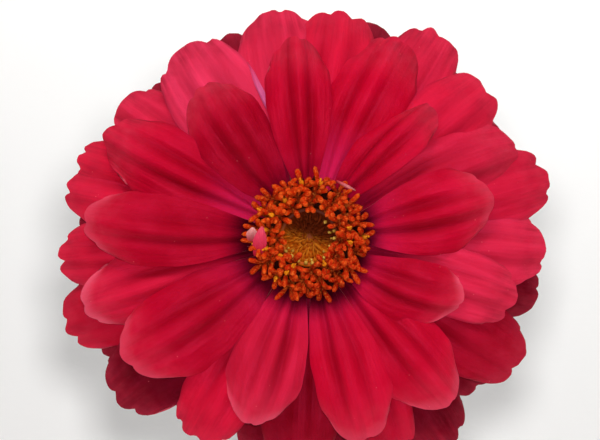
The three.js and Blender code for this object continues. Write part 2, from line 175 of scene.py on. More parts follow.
# %% Colours and nodes
def paint(red, green, blue):
    """A colour given in screen values from 0 to 255, as the linear one that nodes use."""
    linear = [x / 12.92 if x <= 0.04045 else ((x + 0.055) / 1.055) ** 2.4
              for x in (red / 255, green / 255, blue / 255)]
    return (*linear, 1.0)


def work_in(new_tree):
    """Opens a tree. From here on the helpers place their nodes in it."""
    global tree
    tree = new_tree


def add(kind, settings, inputs):
    """A new node. Inputs are values, or other nodes' sockets to link."""
    node = tree.nodes.new("ShaderNode" + kind)
    for name, value in settings.items():
        setattr(node, name, value)
    for name, value in inputs.items():
        if isinstance(value, bpy.types.NodeSocket):
            tree.links.new(value, node.inputs[name])
        else:
            node.inputs[name].default_value = value
    return node


print("a middle crimson as linear values:", [round(x, 3) for x in paint(192, 4, 40)[:3]])


# %% Sums, ranges and mixes
def reckon(operation, *values):
    """A sum of the kind that the Math node names."""
    return add("Math", {"operation": operation}, dict(enumerate(values))).outputs[0]


def times(first, second):
    return reckon("MULTIPLY", first, second)


def plus(first, second):
    return reckon("ADD", first, second)


def place_from(x, y, z):
    """Three numbers joined to a place, for a texture to follow."""
    return add("CombineXYZ", {}, {0: x, 1: y, 2: z}).outputs[0]


def shift(value, low, high, start, end):
    """A value moved from the range low to high to the range start to end, eased and clamped."""
    settings = {"interpolation_type": "SMOOTHSTEP"}
    inputs = {"Value": value, "From Min": low, "From Max": high, "To Min": start, "To Max": end}
    return add("MapRange", settings, inputs).outputs["Result"]


def blend(share, first, second):
    """Two colours mixed by a share."""
    return add("Mix", {"data_type": "RGBA"}, {0: share, 6: first, 7: second}).outputs[2]


def layers(colour, *coats):
    """A colour with coats of others over it. Each coat is (share, red, green, blue)."""
    for share, *screen in coats:
        colour = blend(share, colour, paint(*screen))
    return colour


def ramp(value, *stops):
    """Colours blended along a value. Each stop is (position, red, green, blue)."""
    node = add("ValToRGB", {}, {"Fac": value})
    elements = node.color_ramp.elements
    while len(elements) < len(stops):
        elements.new(1)
    for element, (position, *screen) in zip(elements, stops):
        element.position = position
        element.color = paint(*screen)
    return node.outputs["Color"]


# %% Materials and their surface
def split_attribute(name):
    """The three numbers that a piece's own vector attribute holds at each spot."""
    vector = add("Attribute", {"attribute_name": name}, {}).outputs["Vector"]
    return add("SeparateXYZ", {}, {0: vector}).outputs


def new_material(name):
    """A new material, whose tree is opened."""
    material = bpy.data.materials.new(name)
    material.use_nodes = True
    work_in(material.node_tree)
    return material


GLOW_INPUTS = ("Subsurface Weight", "Subsurface Radius", "Subsurface Scale")


def finish_surface(material, colour, roughness, height, depth, gloss=0.5, glow=(), velvet=()):
    """Plugs colour, roughness and bump into the shader, and sets its gloss, inner glow and sheen."""
    shader = tree.nodes["Principled BSDF"]
    bump = add("Bump", {}, {"Height": height, "Strength": 1.0, "Distance": depth})
    tree.links.new(colour, shader.inputs["Base Color"])
    tree.links.new(roughness, shader.inputs["Roughness"])
    tree.links.new(bump.outputs["Normal"], shader.inputs["Normal"])
    settings = {"Specular IOR Level": gloss, **dict(zip(GLOW_INPUTS, glow)), **dict(velvet)}
    for name, value in settings.items():
        shader.inputs[name].default_value = value
    print(f"{material.name}: {len(tree.nodes)} nodes")
    return material


# %% [markdown]
# ## Two effects that several finishes share
# Petals, bracts and leaves all show fine veins that run from root to tip. The group *veins* draws
# them from the blade's own attribute, so they follow each blade. The group *speckle* is the fine
# grain of clay, soil and velvety plant skin, from the place on the object.

# %% Node group for veins along a blade
def group_of(name, inputs, output):
    """A new group that takes and gives numbers: the group, its input sockets and its end node."""
    group = bpy.data.node_groups.new(name, "ShaderNodeTree")
    for socket in inputs:
        group.interface.new_socket(socket, in_out="INPUT", socket_type="NodeSocketFloat")
    group.interface.new_socket(output, in_out="OUTPUT", socket_type="NodeSocketFloat")
    work_in(group)
    return group, group.nodes.new("NodeGroupInput").outputs, group.nodes.new("NodeGroupOutput")


veins, given, end = group_of("veins", ["Across", "Along", "Seed", "Count"], "Streaks")
across_scaled = times(given["Across"], given["Count"])
vein_place = place_from(across_scaled, times(given["Along"], 2.2), times(given["Seed"], 31.7))
vein_look = {"Vector": vein_place, "Scale": 1.0, "Detail": 3.0, "Roughness": 0.55}
vein_noise = add("TexNoise", {}, vein_look).outputs["Fac"]
veins.links.new(shift(vein_noise, 0.3, 0.7, 0.0, 1.0), end.inputs["Streaks"])


def streaks_of(across, along, seed, count):
    """Veins on a blade, 0 in the hollows and 1 on the ridges."""
    inputs = {"Across": across, "Along": along, "Seed": seed, "Count": count}
    return add("Group", {"node_tree": veins}, inputs).outputs["Streaks"]


# %% Node group for speckle
speckle, given, end = group_of("speckle", ["Size", "Low", "High"], "Grain")
object_place = add("TexCoord", {}, {}).outputs["Object"]
grain_scale = reckon("DIVIDE", 1.0, given["Size"])
grain_look = {"Vector": object_place, "Scale": grain_scale, "Detail": 4.0}
grain_noise = add("TexNoise", {}, grain_look).outputs["Fac"]
grain = add("MapRange", {}, {"Value": grain_noise, "From Min": given["Low"], "From Max": given["High"]})
speckle.links.new(grain.outputs["Result"], end.inputs["Grain"])


def grain_of(size, low=0.35, high=0.65):
    """Speckle of a given size in metres, from 0 to 1."""
    inputs = {"Size": size, "Low": low, "High": high}
    return add("Group", {"node_tree": speckle}, inputs).outputs["Grain"]


print("shared node groups:", [group.name for group in bpy.data.node_groups])

# %% [markdown]
# ## Floor
# A plain pale board. It isn't part of the plant.

# %% Lay the floor
floor_material = new_material("pale_board")
board_tint = ramp(grain_of(0.2), (0, 247, 245, 243), (1, 251, 250, 248))
board_gloss = shift(grain_of(0.01), 0, 1, 0.75, 0.85)
finish_surface(floor_material, board_tint, board_gloss, grain_of(0.002), 0.00002)
FLOOR_HALF = 2.5


def object_from(name, bm, materials):
    """Makes an object of the scene from a bmesh."""
    mesh = bpy.data.meshes.new(name)
    bm.to_mesh(mesh)
    bm.free()
    for material in materials:
        mesh.materials.append(material)
    made = bpy.data.objects.new(name, mesh)
    bpy.context.scene.collection.objects.link(made)
    return made


sheet = bmesh.new()
bmesh.ops.create_grid(sheet, x_segments=1, y_segments=1, size=FLOOR_HALF)
floor = object_from("floor", sheet, [floor_material])
print("floor:", 2 * FLOOR_HALF, "m wide")

# %% [markdown]
# ## How a piece is finished
# Every piece starts as a bmesh in convenient coordinates. `finish_piece` carries it to its place,
# gives it its materials, and ties it to the frame: it rides on the plant's one body and replaces the
# plain node that stood for it. Petals and leaves start as sheets, so it also makes them thick.

# %% Finish a piece
def give_thickness(piece, thickness):
    """Turns sheets into thin solid blades. The new lower side takes the second material."""
    solid = piece.modifiers.new("thickness", "SOLIDIFY")
    solid.thickness = thickness * MM
    solid.offset = -1
    solid.material_offset = 1
    solid.material_offset_rim = 1


def finish_piece(name, bm, place, materials, node, thickness=0):
    """Makes the object, with smooth faces and crisp open edges, and ties it to the frame."""
    bm.transform(place)
    for face in bm.faces:
        face.smooth = True
    for edge in bm.edges:
        edge.smooth = not edge.is_boundary
    piece = object_from(name, bm, materials)
    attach(piece, "root")
    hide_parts(node)
    if thickness:
        give_thickness(piece, thickness)
    print(f"{name}: {len(piece.data.polygons)} faces")


# %% [markdown]
# ## Blades
# A petal, a leaf or a bract is a thin blade. Each starts as a flat grid. Its corners know how far
# they are across, u from -1 to 1, and along, v from 0 to 1, and a formula moves them to their place.
# The same u and v stay on the blade as an attribute, so that veins and colours can follow it.

# %% Blades from grids
BLADE_SPOT = "blade_spot"
BLADE_LOOK = "blade_look"


def smooth_step(low, high, x):
    """An eased step from 0 at low to 1 at high."""
    x = min(1, max(0, (x - low) / (high - low)))
    return x * x * (3 - 2 * x)


def along(values, t):
    """A smooth value at share t of evenly spaced ones."""
    x = min(1, max(0, t)) * (len(values) - 1)
    i = min(int(x), len(values) - 2)
    a, b, c, d = (values[min(len(values) - 1, max(0, i + k))] for k in (-1, 0, 1, 2))
    f = x - i
    return b + 0.5 * f * (c - a + f * (2 * a - 5 * b + 4 * c - d + f * (3 * (b - c) + d - a)))


def corner_values(bm, name):
    """The corners' attribute of that name, made where it is still missing."""
    values = bm.verts.layers.float_vector
    return values.get(name) or values.new(name)


def add_blade(bm, columns, rows, seed, place):
    """One blade. place(u, v) gives a corner's place and its three look values."""
    spot = corner_values(bm, BLADE_SPOT)
    look = corner_values(bm, BLADE_LOOK)
    grid = bmesh.ops.create_grid(bm, x_segments=columns, y_segments=rows, size=1)
    for corner in grid["verts"]:
        u, v = -corner.co.x, (corner.co.y + 1) / 2
        corner.co, corner[look] = place(u, v)
        corner[spot] = (u, v, seed)
    return grid["verts"]


def streaked_material(name, count):
    """A new material, the lengthwise value of its blades, and their veins."""
    material = new_material(name)
    across, lengthwise, seed = split_attribute(BLADE_SPOT)
    return material, lengthwise, streaks_of(across, lengthwise, seed, count)


print("half way along 0, 1, 4:", along([0, 1, 4], 0.5))

# %% [markdown]
# ## The line that a petal follows
# A petal leaves the receptacle at an angle, arches over and dips at its tip. The line is worked out
# in small steps, each a little less steep than the last. Some tips hook under at the very end, which
# shows their pale edge.

# %% Directions round an upright axis
def outward_at(angle):
    """The level direction at an angle in radians."""
    return Vector((math.cos(angle), math.sin(angle), 0))


def across_and_above(outward, slope):
    """The direction across a blade that climbs outward at a slope, and the one square to its face."""
    upright = Vector((0, 0, 1))
    return upright.cross(outward), upright * math.cos(slope) - outward * math.sin(slope)


print("a quarter turn from the right:", tuple(round(x, 2) for x in outward_at(math.pi / 2)))

# %% Arching lines
ARCH_DELAY = 1.2
ARCH_STEPS = 60


def arch(root_pitch, tip_pitch, hook):
    """An arching line one unit long: (out, up, slope) at even shares of its length."""
    out, up, line = 0.0, 0.0, []
    for k in range(ARCH_STEPS + 1):
        t = (k + 0.5) / ARCH_STEPS
        slope = math.radians(
            root_pitch + (tip_pitch - root_pitch) * t ** ARCH_DELAY - hook * smooth_step(0.84, 1.0, t)
        )
        line.append((out, up, slope))
        out += math.cos(slope) / ARCH_STEPS
        up += math.sin(slope) / ARCH_STEPS
    return line


def on_line(line, t):
    """The place and slope at share t of a line."""
    x = min(1, max(0, t)) * ARCH_STEPS
    i = min(int(x), ARCH_STEPS - 1)
    return [a + (b - a) * (x - i) for a, b in zip(line[i], line[i + 1])]


reach_and_rise = arch(34, -27, 0)[-1][:2]
print("reach and rise of an arch from 34 to -27 degrees:", [round(x, 2) for x in reach_and_rise])

# %% [markdown]
# ## Ray petals
# A double zinnia has its ray petals in whorls. Each petal is its own shape: spoon-like, folded in
# two or three furrows, with a rounded or notched tip. The table gives each petal as the bloom shows
# it from the front: the angle of its tip, how far the tip has turned from the root, reach, width,
# extra rise at the root, roll, how high it lies over its neighbours, its value from deep to light,
# partly its own colour and partly painted light and painted shade, how pale its tip's edge is, how
# much magenta blush its root has and how much painted shade darkens its root.

# %% The petals of the bloom
Petal = namedtuple("Petal", "angle turn reach width rise roll layer tone rim blush shade")
FRONT_PETALS = [
    Petal(12, 3, 26.8, 11.8, 5, 4, 1.0, -0.2, 0.3, 0.5, 1.0),
    Petal(23.5, -3, 32.2, 12.2, -7, 8, 0.2, 0.4, 0.0, 0.2, 0.5),
    Petal(47, -6, 25.4, 8.4, 6, -24, 1.0, -0.2, 0.1, 0.1, 0.3),
    Petal(65.5, -5, 31.2, 12.2, -4, -6, 0.3, -0.05, 0.0, 1.0, 0.0),
    Petal(94, 0, 28.6, 9.4, 1, 0, 1.2, -0.3, 0.0, 0.1, 0.2),
    Petal(125, -2, 26.4, 11.2, 7, 8, 0.8, -0.6, 0.1, 0.1, 0.4),
    Petal(153, -1, 32.6, 10.8, 0, -4, 0.3, -0.3, 0.0, 0.8, 0.1),
    Petal(175.5, -3, 32.4, 10.6, 4, 0, 1.0, -0.42, 0.5, 0.1, 1.0),
    Petal(197, 0, 34.0, 10.4, -5, -6, 0.1, 0.25, 1.2, 0.2, 0.9),
    Petal(213.5, -3, 31.6, 13.4, 4, 5, 0.3, -0.4, 0.5, 0.3, 0.9),
    Petal(252, 0, 28.0, 10.8, 5, 0, 0.6, 0.35, 0.7, 0.4, 1.0),
    Petal(285.5, -1, 30.4, 10.8, 4, 4, 0.8, 0.1, 0.4, 0.3, 1.0),
    Petal(310.5, 0, 31.2, 11.6, -3, -5, 0.9, 0.1, 0.6, 0.3, 0.9),
    Petal(337, 9, 23.9, 9.6, 7, 6, 1.2, -0.38, 0.9, 0.4, 1.0),
]
MIDDLE_PETALS = [
    Petal(angle, 0, reach, width, rise, roll, layer, tone, 0.1, 0.3, 0.6)
    for angle, reach, width, rise, roll, layer, tone in [
        (14, 35.2, 11.8, 0, 4, 0.0, 0.3), (40, 33.5, 11.4, 1, 0, 1.0, 0.25),
        (57, 34.8, 11.0, 0, -5, 0.0, 0.4), (82, 32.8, 11.5, -3, -4, 1.0, 0.15),
        (98.5, 32.8, 12.5, -1, 4, 0.2, 0.55), (124, 32.5, 13.2, 1, -3, 1.0, 1.0),
        (145, 33.2, 11.0, 0, 5, 0.0, 0.45), (161, 34.8, 9.5, -4, 4, 1.0, -0.05),
        (169, 35.3, 9.5, 2, 3, 0.0, 0.2), (185, 36.0, 10.0, -3, 0, 1.0, 0.2),
        (200, 37.2, 10.8, -4, -4, 0.0, -0.4), (220, 36.2, 12.4, -5, 0, 1.0, -1.0),
        (240.5, 33.4, 10.4, 4, 0, 0.6, 0.05), (267, 33.5, 11.0, -4, 0, 0.0, -0.8),
        (291.5, 33.5, 10.0, -1, 4, 1.0, -0.4), (304.5, 35.8, 11.0, -6, -4, 0.0, -1.0),
        (328.5, 35.4, 11.6, -4, 0, 0.0, -0.65), (342.5, 30.8, 9.8, 4, 4, 1.0, 0.5),
        (356.5, 34.0, 11.6, -2, 0, 0.4, 0.5),
    ]
]
BACK_REACHES = [
    (3.5, 30.5), (29, 31.5), (50, 32), (73.5, 31.8), (112, 31.2), (135, 31), (156, 32.5), (177, 33),
    (191.5, 34.2), (211, 34), (234, 31), (258, 32.5), (279, 33), (300, 34), (321, 33), (346, 33.8),
]
# the back petals are painted deep and dark at the root, as painted shade
BACK_PETALS = [
    Petal(angle, 0, reach, 10, 0, 0, k % 2, -0.95, 0.1, 0.0, 1.0)
    for k, (angle, reach) in enumerate(BACK_REACHES)
]
print("ray petals:", len(FRONT_PETALS), len(MIDDLE_PETALS), len(BACK_PETALS))

# %% [markdown]
# ## The shape of one petal
# The petal's line gives its middle. Across it, the sides turn up in a gutter at the root and fall
# away towards the tip, two or three furrows run along it, and slow waves keep it from looking
# pressed. The outer whorls have ragged tips of small lobes, the inner ones are rounded and hook under.

# %% Petal formula
RAY_ROOT = 5.6
BLADE_ROOT = "blade_root"
PETAL_GUTTER = 0.4
PETAL_THICKNESS = 0.24

Whorl = namedtuple("Whorl", "root stagger pitch camber furrow outline rounding lobes ragged hook")
ROUND_TIPPED = [0.2, 0.45, 0.72, 0.92, 1.0, 1.0, 0.84]
BLUNT = [0.2, 0.45, 0.72, 0.92, 1.0, 1.01, 0.9]
CREASE_WIDTH = 0.14
FRONT = Whorl(-1.2, 1.0, (34, -27), 0.32, 1.05, ROUND_TIPPED, 0.15, 2.6, 0.022, 9)
MIDDLE = Whorl(-2.9, 1.3, (22, -18), 0.16, 0.6, BLUNT, 0.11, 2.6, 0.03, 6)
BACK = Whorl(-4.2, 1.0, (6, -20), 0.08, 0.5, BLUNT, 0.11, 2.4, 0.026, 6)


def ripple(x, y, seed):
    """A slow random wave from -1 to 1."""
    return noise.noise(Vector((x, y, 7.3 * seed)))


def petal_tip(u, seed, lobes, ragged):
    """How far the tip's edge falls short at u: rounded lobes with small notches between them."""
    swing = abs(math.sin(math.pi * (0.5 * lobes * u + ripple(0.9 * u, 3.1, seed) + 0.37 * seed)))
    return ragged * ((1 - swing) ** 1.5 + 0.35 * ripple(4.0 * u, 0.0, seed))


def furrows_of(seed):
    """The two or three furrows of a petal, each as its place across and its strength."""
    sides = [
        (side * 0.33 + 0.1 * ripple(side, 5.0, seed), 0.8 + 0.7 * ripple(2.0, side, seed))
        for side in (-1, 1)
    ]
    return sides + [(0.12 * ripple(4.0, 4.0, seed), max(0, 0.9 * ripple(9.0, 1.0, seed)))]


print("furrows of the first petal:", [(round(a, 2), round(b, 2)) for a, b in furrows_of(1)])


# %% Place of a petal
def petal_place(petal, whorl, seed):
    """The formula of one petal, ready for add_blade."""
    line = arch(whorl.pitch[0] + petal.rise, whorl.pitch[1], whorl.hook * (0.4 + petal.rim))
    length = (petal.reach - RAY_ROOT) / line[-1][0]
    turn, roll = math.radians(petal.turn), math.radians(petal.roll)
    furrows = furrows_of(seed)

    def place(u, v):
        nick = petal_tip(u, seed, whorl.lobes, whorl.ragged) * v ** 9
        t = v * (1 - whorl.rounding * (0.55 * u * u + 0.55 * u ** 6) * v ** 3 - nick)
        out, up, slope = on_line(line, t)
        angle = math.radians(petal.angle) - turn * (1 - t * t)
        outward = outward_at(angle)
        sideways, normal = across_and_above(outward, slope)
        side = math.copysign(3, u)
        wavy = 1 + 0.05 * ripple(2.5 * v, side, seed) + 0.03 * ripple(9 * v, 2 * side, seed)
        half = petal.width / 2 * along(whorl.outline, v) * wavy
        cup = half * u * u * (PETAL_GUTTER * (1 - v) ** 2 - whorl.camber * (0.4 + v))
        crease = sum(depth * math.exp(-((u - middle) / CREASE_WIDTH) ** 2) for middle, depth in furrows)
        crease *= math.sin(math.pi * min(1, 0.06 + 0.96 * v))
        arched = 0.3 * math.cos(1.5 * math.pi * u) * (1 - u * u)
        waves = 0.7 * ripple(1.3 * u, 2.6 * v, seed) + 0.7 * abs(u) ** 3 * ripple(u, 3.4 * v, seed + 0.5)
        x = u * half
        y = cup + whorl.furrow * (arched - crease) + waves * v
        tilt = roll * min(1, 2 * t)
        spot = (
            Vector((0, 0, whorl.root + petal.layer * whorl.stagger + up * length))
            + outward * (RAY_ROOT + out * length)
            + sideways * (x * math.cos(tilt) - y * math.sin(tilt))
            + normal * (x * math.sin(tilt) + y * math.cos(tilt))
        )
        return spot, (petal.tone, petal.rim, crease)

    return place


# %% [markdown]
# ## The finish of the petals
# The crimson isn't even. The petal's root is tinged with magenta, its middle is a deep red, and the
# light outer part is pinker. Painted shade darkens the furrows, broad bands along the folds, the roots
# under the disc and the petals that lie in shadow, and painted light brightens others. Fine veins run
# along the blade, and where the tip's edge hooks under it is nearly pink. The skin is velvety: no gloss,
# a little sheen, and light that sinks in and comes out redder. The underside is paler and duller.

# %% Tone and root of a petal
def with_tone(colour, tone, lengthwise, deep_tip):
    """Lightens or deepens the crimson by the petal's value: partly its own colour, partly painted light
    and painted shade.
    """
    # painted light lightens some petals and painted shade deepens others, mixed with their own colour
    lighter_with_painted_light = times(shift(tone, 0, 1, 0, 0.95), shift(lengthwise, 0.1, 0.7, 0.15, 1))
    deeper_with_painted_shade = times(shift(tone, 0, -1, 0, 0.9), shift(lengthwise, 0.55, 1, 1, deep_tip))
    return layers(colour, (lighter_with_painted_light, 230, 56, 94), (deeper_with_painted_shade, 100, 0, 10))


def with_root(colour, lengthwise, dusk):
    """Tinges the root with magenta, and paints shade on what lies under the disc."""
    blush, shade = split_attribute(BLADE_ROOT)[:2]
    blushing = times(blush, shift(lengthwise, 0.12, 0.5, 0.85, 0))
    # painted shade: the root darkens where it lies under the disc
    painted_root_shade = times(shade, shift(lengthwise, dusk[0], dusk[1], 0.95, 0))
    return layers(colour, (blushing, 220, 32, 92), (painted_root_shade, 40, 0, 10))


# %% Tip of a petal
def with_tip(colour, across, lengthwise, seed, rim, frosting):
    """A bare tip is dusky and frosted. One that hooks under shows a pale edge."""
    bare = shift(rim, 0, 0.6, 1, 0.1)
    veined = shift(streaks_of(across, lengthwise, plus(seed, 0.3), 8.0), 0.2, 0.9, 0.5, 1)
    patchy = times(veined, shift(grain_of(0.003, 0.35, 0.65), 0, 1, 0.3, 1))
    bare_tip = times(shift(lengthwise, 0.78, 1.0, 0, 0.85), bare)
    frost = times(grain_of(0.0016, 0.3, 0.7), shift(lengthwise, 0.72, 0.98, 0, frosting))
    edge = reckon("ABSOLUTE", across)
    margin = times(shift(edge, 0.88, 1.0, 0, 0.4), times(bare, lengthwise))
    pale_tip = shift(plus(lengthwise, times(edge, 0.05)), 0.91, 1.03, 0, 0.75)
    return layers(
        colour,
        (times(patchy, bare_tip), 140, 14, 34),
        (frost, 214, 74, 94),
        (margin, 104, 2, 24),
        (times(pale_tip, rim), 236, 86, 112),
    )


# %% Pollen on a petal
def with_pollen(colour):
    """A few tiny pale grains."""
    on_object = add("TexCoord", {}, {}).outputs["Object"]
    grains = add("TexVoronoi", {}, {"Vector": on_object, "Scale": 560.0}).outputs
    chosen = shift(grains["Color"], 0.44, 0.5, 0, 1)
    speck = times(shift(grains["Distance"], 0.02, 0.06, 1, 0), chosen)
    return layers(colour, (times(speck, 0.4), 236, 120, 126))


# %% Petal face
# dusk is the span along a petal over which the painted shade under the disc fades out
PetalCrimson = namedtuple("PetalCrimson", "root middle outer tip dusk deep_tip frosting")


def petal_face_material(name, crimson):
    """Velvety crimson by each petal's value, root, furrows and tip, with painted shade and painted
    light.
    """
    material = new_material(name)
    across, lengthwise, seed = split_attribute(BLADE_SPOT)
    tone, rim, crease = split_attribute(BLADE_LOOK)
    streaks = streaks_of(across, lengthwise, seed, 9.0)
    bands = streaks_of(across, times(lengthwise, 0.5), plus(seed, 0.5), 2.6)
    colour = ramp(
        lengthwise, (0.02, *crimson.root), (0.3, *crimson.middle), (0.72, *crimson.outer),
        (1.0, *crimson.tip),
    )
    colour = with_tone(colour, tone, lengthwise, crimson.deep_tip)
    colour = layers(
        colour,
        # painted shade: broad darker bands along the petal's soft folds
        (shift(bands, 0, 1, 0.4, 0), 152, 1, 22),
        (shift(streaks, 0, 1, 0.12, 0), 160, 1, 24),
        (times(grain_of(0.004, 0.42, 0.68), 0.12), 224, 36, 78),
        # painted shade in the furrows
        (times(crease, 0.75), 124, 0, 14),
        # painted shade: the petals that lie deepest in shadow go nearly black-red
        (shift(tone, -0.7, -1.0, 0, 0.7), 64, 0, 8),
    )
    colour = with_root(colour, lengthwise, crimson.dusk)
    colour = with_tip(colour, across, lengthwise, seed, rim, crimson.frosting)
    height = plus(times(streaks, 0.5), times(grain_of(0.0006), 0.3))
    dull = shift(streaks, 0, 1, 0.58, 0.46)
    glow = (0.22, (1.0, 0.12, 0.14), 0.0007)
    velvet = {"Sheen Weight": 0.03, "Sheen Roughness": 0.45}
    velvet["Sheen Tint"] = velvet["Specular Tint"] = paint(255, 70, 120)
    return finish_surface(material, with_pollen(colour), dull, height, 0.00008, 0.32, glow, velvet)


inner_crimson = petal_face_material("inner_petal_crimson", PetalCrimson(
    (160, 1, 34), (176, 1, 32), (192, 4, 40), (216, 26, 60), (0.13, 0.3), 0.4, 0.22,
))
outer_crimson = petal_face_material("outer_petal_crimson", PetalCrimson(
    (160, 1, 40), (180, 2, 34), (202, 12, 46), (212, 22, 54), (0.2, 0.5), 0.95, 0.1,
))

# %% Petal underside
def petal_underside_material():
    """Paler and duller than the face, and greenish at the root."""
    material, lengthwise, streaks = streaked_material("petal_underside_rose", 8.0)
    colour = layers(
        ramp(lengthwise, (0.0, 150, 128, 84), (0.25, 180, 74, 84), (1.0, 196, 46, 72)),
        (shift(streaks, 0, 1, 0.35, 0), 152, 26, 46),
        (times(grain_of(0.003), 0.2), 206, 96, 112),
    )
    dull = shift(streaks, 0, 1, 0.7, 0.6)
    glow = (0.2, (1.0, 0.2, 0.2), 0.0007)
    return finish_surface(material, colour, dull, streaks, 0.0001, 0.3, glow)


petal_underside = petal_underside_material()

# %% Grow the whorls
PETAL_COLUMNS = 24
PETAL_ROWS = 34
FRONT_SEED = 1
MIDDLE_SEED = 31
BACK_SEED = 61


def grow_whorl(name, petals, whorl, face_material, first_seed):
    """All the petals of one whorl as one piece."""
    bm = bmesh.new()
    root_values = corner_values(bm, BLADE_ROOT)
    for seed, petal in enumerate(petals, first_seed):
        place = petal_place(petal, whorl, seed)
        for corner in add_blade(bm, PETAL_COLUMNS, PETAL_ROWS, seed, place):
            # the second value is how much painted shade darkens the root
            corner[root_values] = (petal.blush, petal.shade, 0)
    sides = [face_material, petal_underside]
    finish_piece(name, bm, bloom_place, sides, "ray_petals", PETAL_THICKNESS)


grow_whorl("back_petals", BACK_PETALS, BACK, outer_crimson, BACK_SEED)
grow_whorl("middle_petals", MIDDLE_PETALS, MIDDLE, outer_crimson, MIDDLE_SEED)
grow_whorl("front_petals", FRONT_PETALS, FRONT, inner_crimson, FRONT_SEED)

# %% [markdown]
# ## A folded margin
# The upper left petal of the middle whorl has a part of its margin folded over, so that a strip of
# its pale lilac underside shows. The strip follows the petal's own formula along that margin.

# %% Folded margin
FOLDED_PETAL = 5
FOLD_START = 0.32
FOLD_END = 0.8
FOLD_WIDTH = 0.14


def fold_place(petal, whorl, seed):
    """The formula of a strip along the right margin of a petal."""
    on_petal = petal_place(petal, whorl, seed)

    def place(u, v):
        share = FOLD_START + (FOLD_END - FOLD_START) * v
        swell = math.sin(math.pi * v)
        margin, look = on_petal(-1, share)
        inner, look = on_petal(-1 + FOLD_WIDTH * swell, share)
        lift = Vector((0, -0.5, 0.7)) * (0.2 + swell * (1.1 - u * u) * 0.5)
        return margin.lerp(inner, (u + 1) / 2) + lift, (0, 0, 0)

    return place


# %% Lilac of the fold
def fold_material():
    """Lilac in the middle of the strip, crimson where it starts and ends."""
    material, lengthwise, streaks = streaked_material("pale_lilac_fold", 4.0)
    lilac = ramp(
        lengthwise, (0.0, 196, 36, 104), (0.3, 208, 84, 148), (0.6, 216, 92, 144),
        (1.0, 226, 40, 90),
    )
    colour = layers(lilac, (shift(streaks, 0, 1, 0.3, 0), 190, 40, 110))
    return finish_surface(material, colour, shift(streaks, 0, 1, 0.65, 0.5), streaks, 0.00006, 0.3)


FOLD_THICKNESS = 0.15
FOLD_SEED = 90
bm = bmesh.new()
folded_edge = fold_place(MIDDLE_PETALS[FOLDED_PETAL], MIDDLE, MIDDLE_SEED + FOLDED_PETAL)
add_blade(bm, 8, 24, FOLD_SEED, folded_edge)
lilac_sides = [fold_material(), petal_underside]
finish_piece("folded_margin", bm, bloom_place, lilac_sides, "ray_petals", FOLD_THICKNESS)

# %% [markdown]
# ## The cushion under the petals
# All the petals are rooted in one pale green cushion, the receptacle. It hardly shows, but without it
# the roots of the petals would hang in the air. It is a profile spun about the bloom's axis.

# %% Spun shapes
def spun(profile, steps):
    """A profile of (radius, height) points spun about +Z, with its seam and poles merged."""
    bm = bmesh.new()
    corners = [bm.verts.new((radius, 0, height)) for radius, height in profile]
    edges = [bm.edges.new(pair) for pair in zip(corners, corners[1:])]
    bmesh.ops.spin(
        bm, geom=corners + edges, cent=(0, 0, 0), axis=(0, 0, 1), angle=2 * math.pi, steps=steps,
        use_merge=True,
    )
    bmesh.ops.remove_doubles(bm, verts=bm.verts, dist=1e-4)
    return bm


def face_out(bm):
    """Turns all the faces of closed shapes outwards."""
    bmesh.ops.recalc_face_normals(bm, faces=bm.faces)


# %% Cushion
CUSHION_PROFILE = [
    (0, -0.2), (6.2, -0.3), (7.0, -1.0), (7.1, -2.2), (6.6, -3.5), (5.4, -4.2), (0, -4.3),
]


def cushion_material():
    """Pale, dull green."""
    material = new_material("receptacle_green")
    colour = ramp(grain_of(0.0012), (0, 112, 96, 46), (1, 150, 140, 84))
    height = grain_of(0.0005)
    return finish_surface(material, colour, shift(height, 0, 1, 0.75, 0.6), height, 0.0001, 0.2)


bm = spun(CUSHION_PROFILE, 32)
face_out(bm)
finish_piece("petal_cushion", bm, bloom_place, [cushion_material()], "ray_petals")

# %% [markdown]
# ## Rods rolled from grids
# The lobes of the disc florets, the dry scales, the stem and the side shoots are all rods. A rod is a
# flat grid rolled up round a path: one side of the grid goes round, the other goes along. Where the
# two edges meet they are merged, and where the radius falls to nothing the end closes in a pole.

# %% Rods
def add_rod(bm, sides, steps, path, radius_at, reference, look, seed=0.0, flatness=1.0):
    """A closed rod along path(t). A flatness under 1 makes it a strap that is thin along its front."""
    spot = corner_values(bm, BLADE_SPOT)
    looks = corner_values(bm, BLADE_LOOK)
    grid = bmesh.ops.create_grid(bm, x_segments=sides, y_segments=steps, size=1)
    for corner in grid["verts"]:
        turn, t = math.pi * corner.co.x, (corner.co.y + 1) / 2
        ahead = (path(min(1, t + 0.02)) - path(max(0, t - 0.02))).normalized()
        side = (reference - ahead * reference.dot(ahead)).normalized()
        front = ahead.cross(side)
        radius = radius_at(t)
        corner[spot] = (corner.co.x, t, seed)
        corner[looks] = look
        round_about = side * math.cos(turn) + front * (flatness * math.sin(turn))
        corner.co = path(t) + round_about * radius
    bmesh.ops.remove_doubles(bm, verts=grid["verts"], dist=1e-4)


# %% Paths of rods
def bent_path(first, middle, last):
    """A path that leaves first towards middle and arrives at last."""
    return lambda t: first * (1 - t) ** 2 + middle * (2 * t * (1 - t)) + last * t * t


def bent_in(place, *points):
    """A bent path whose three points are given in a place's own coordinates."""
    return bent_path(*(place @ Vector(point) for point in points))


def sideways_of(place):
    """The direction to the side, as a place turns it."""
    return place.to_3x3() @ Vector((0, 1, 0))


print("half way from 0 by 2 to 2:", bent_path(0, 2, 2)(0.5))


# %% Radii of rods
def rounded(root, tip, swell=0.7):
    """The radius of a rod with a closed root and a round, thicker end."""
    def radius_at(t):
        if t <= 0 or t >= 1:
            return 0
        radius = root + (tip - root) * smooth_step(0, 0.6, t)
        return radius * math.sqrt(1 - ((t - swell) / (1 - swell)) ** 2) if t > swell else radius
    return radius_at


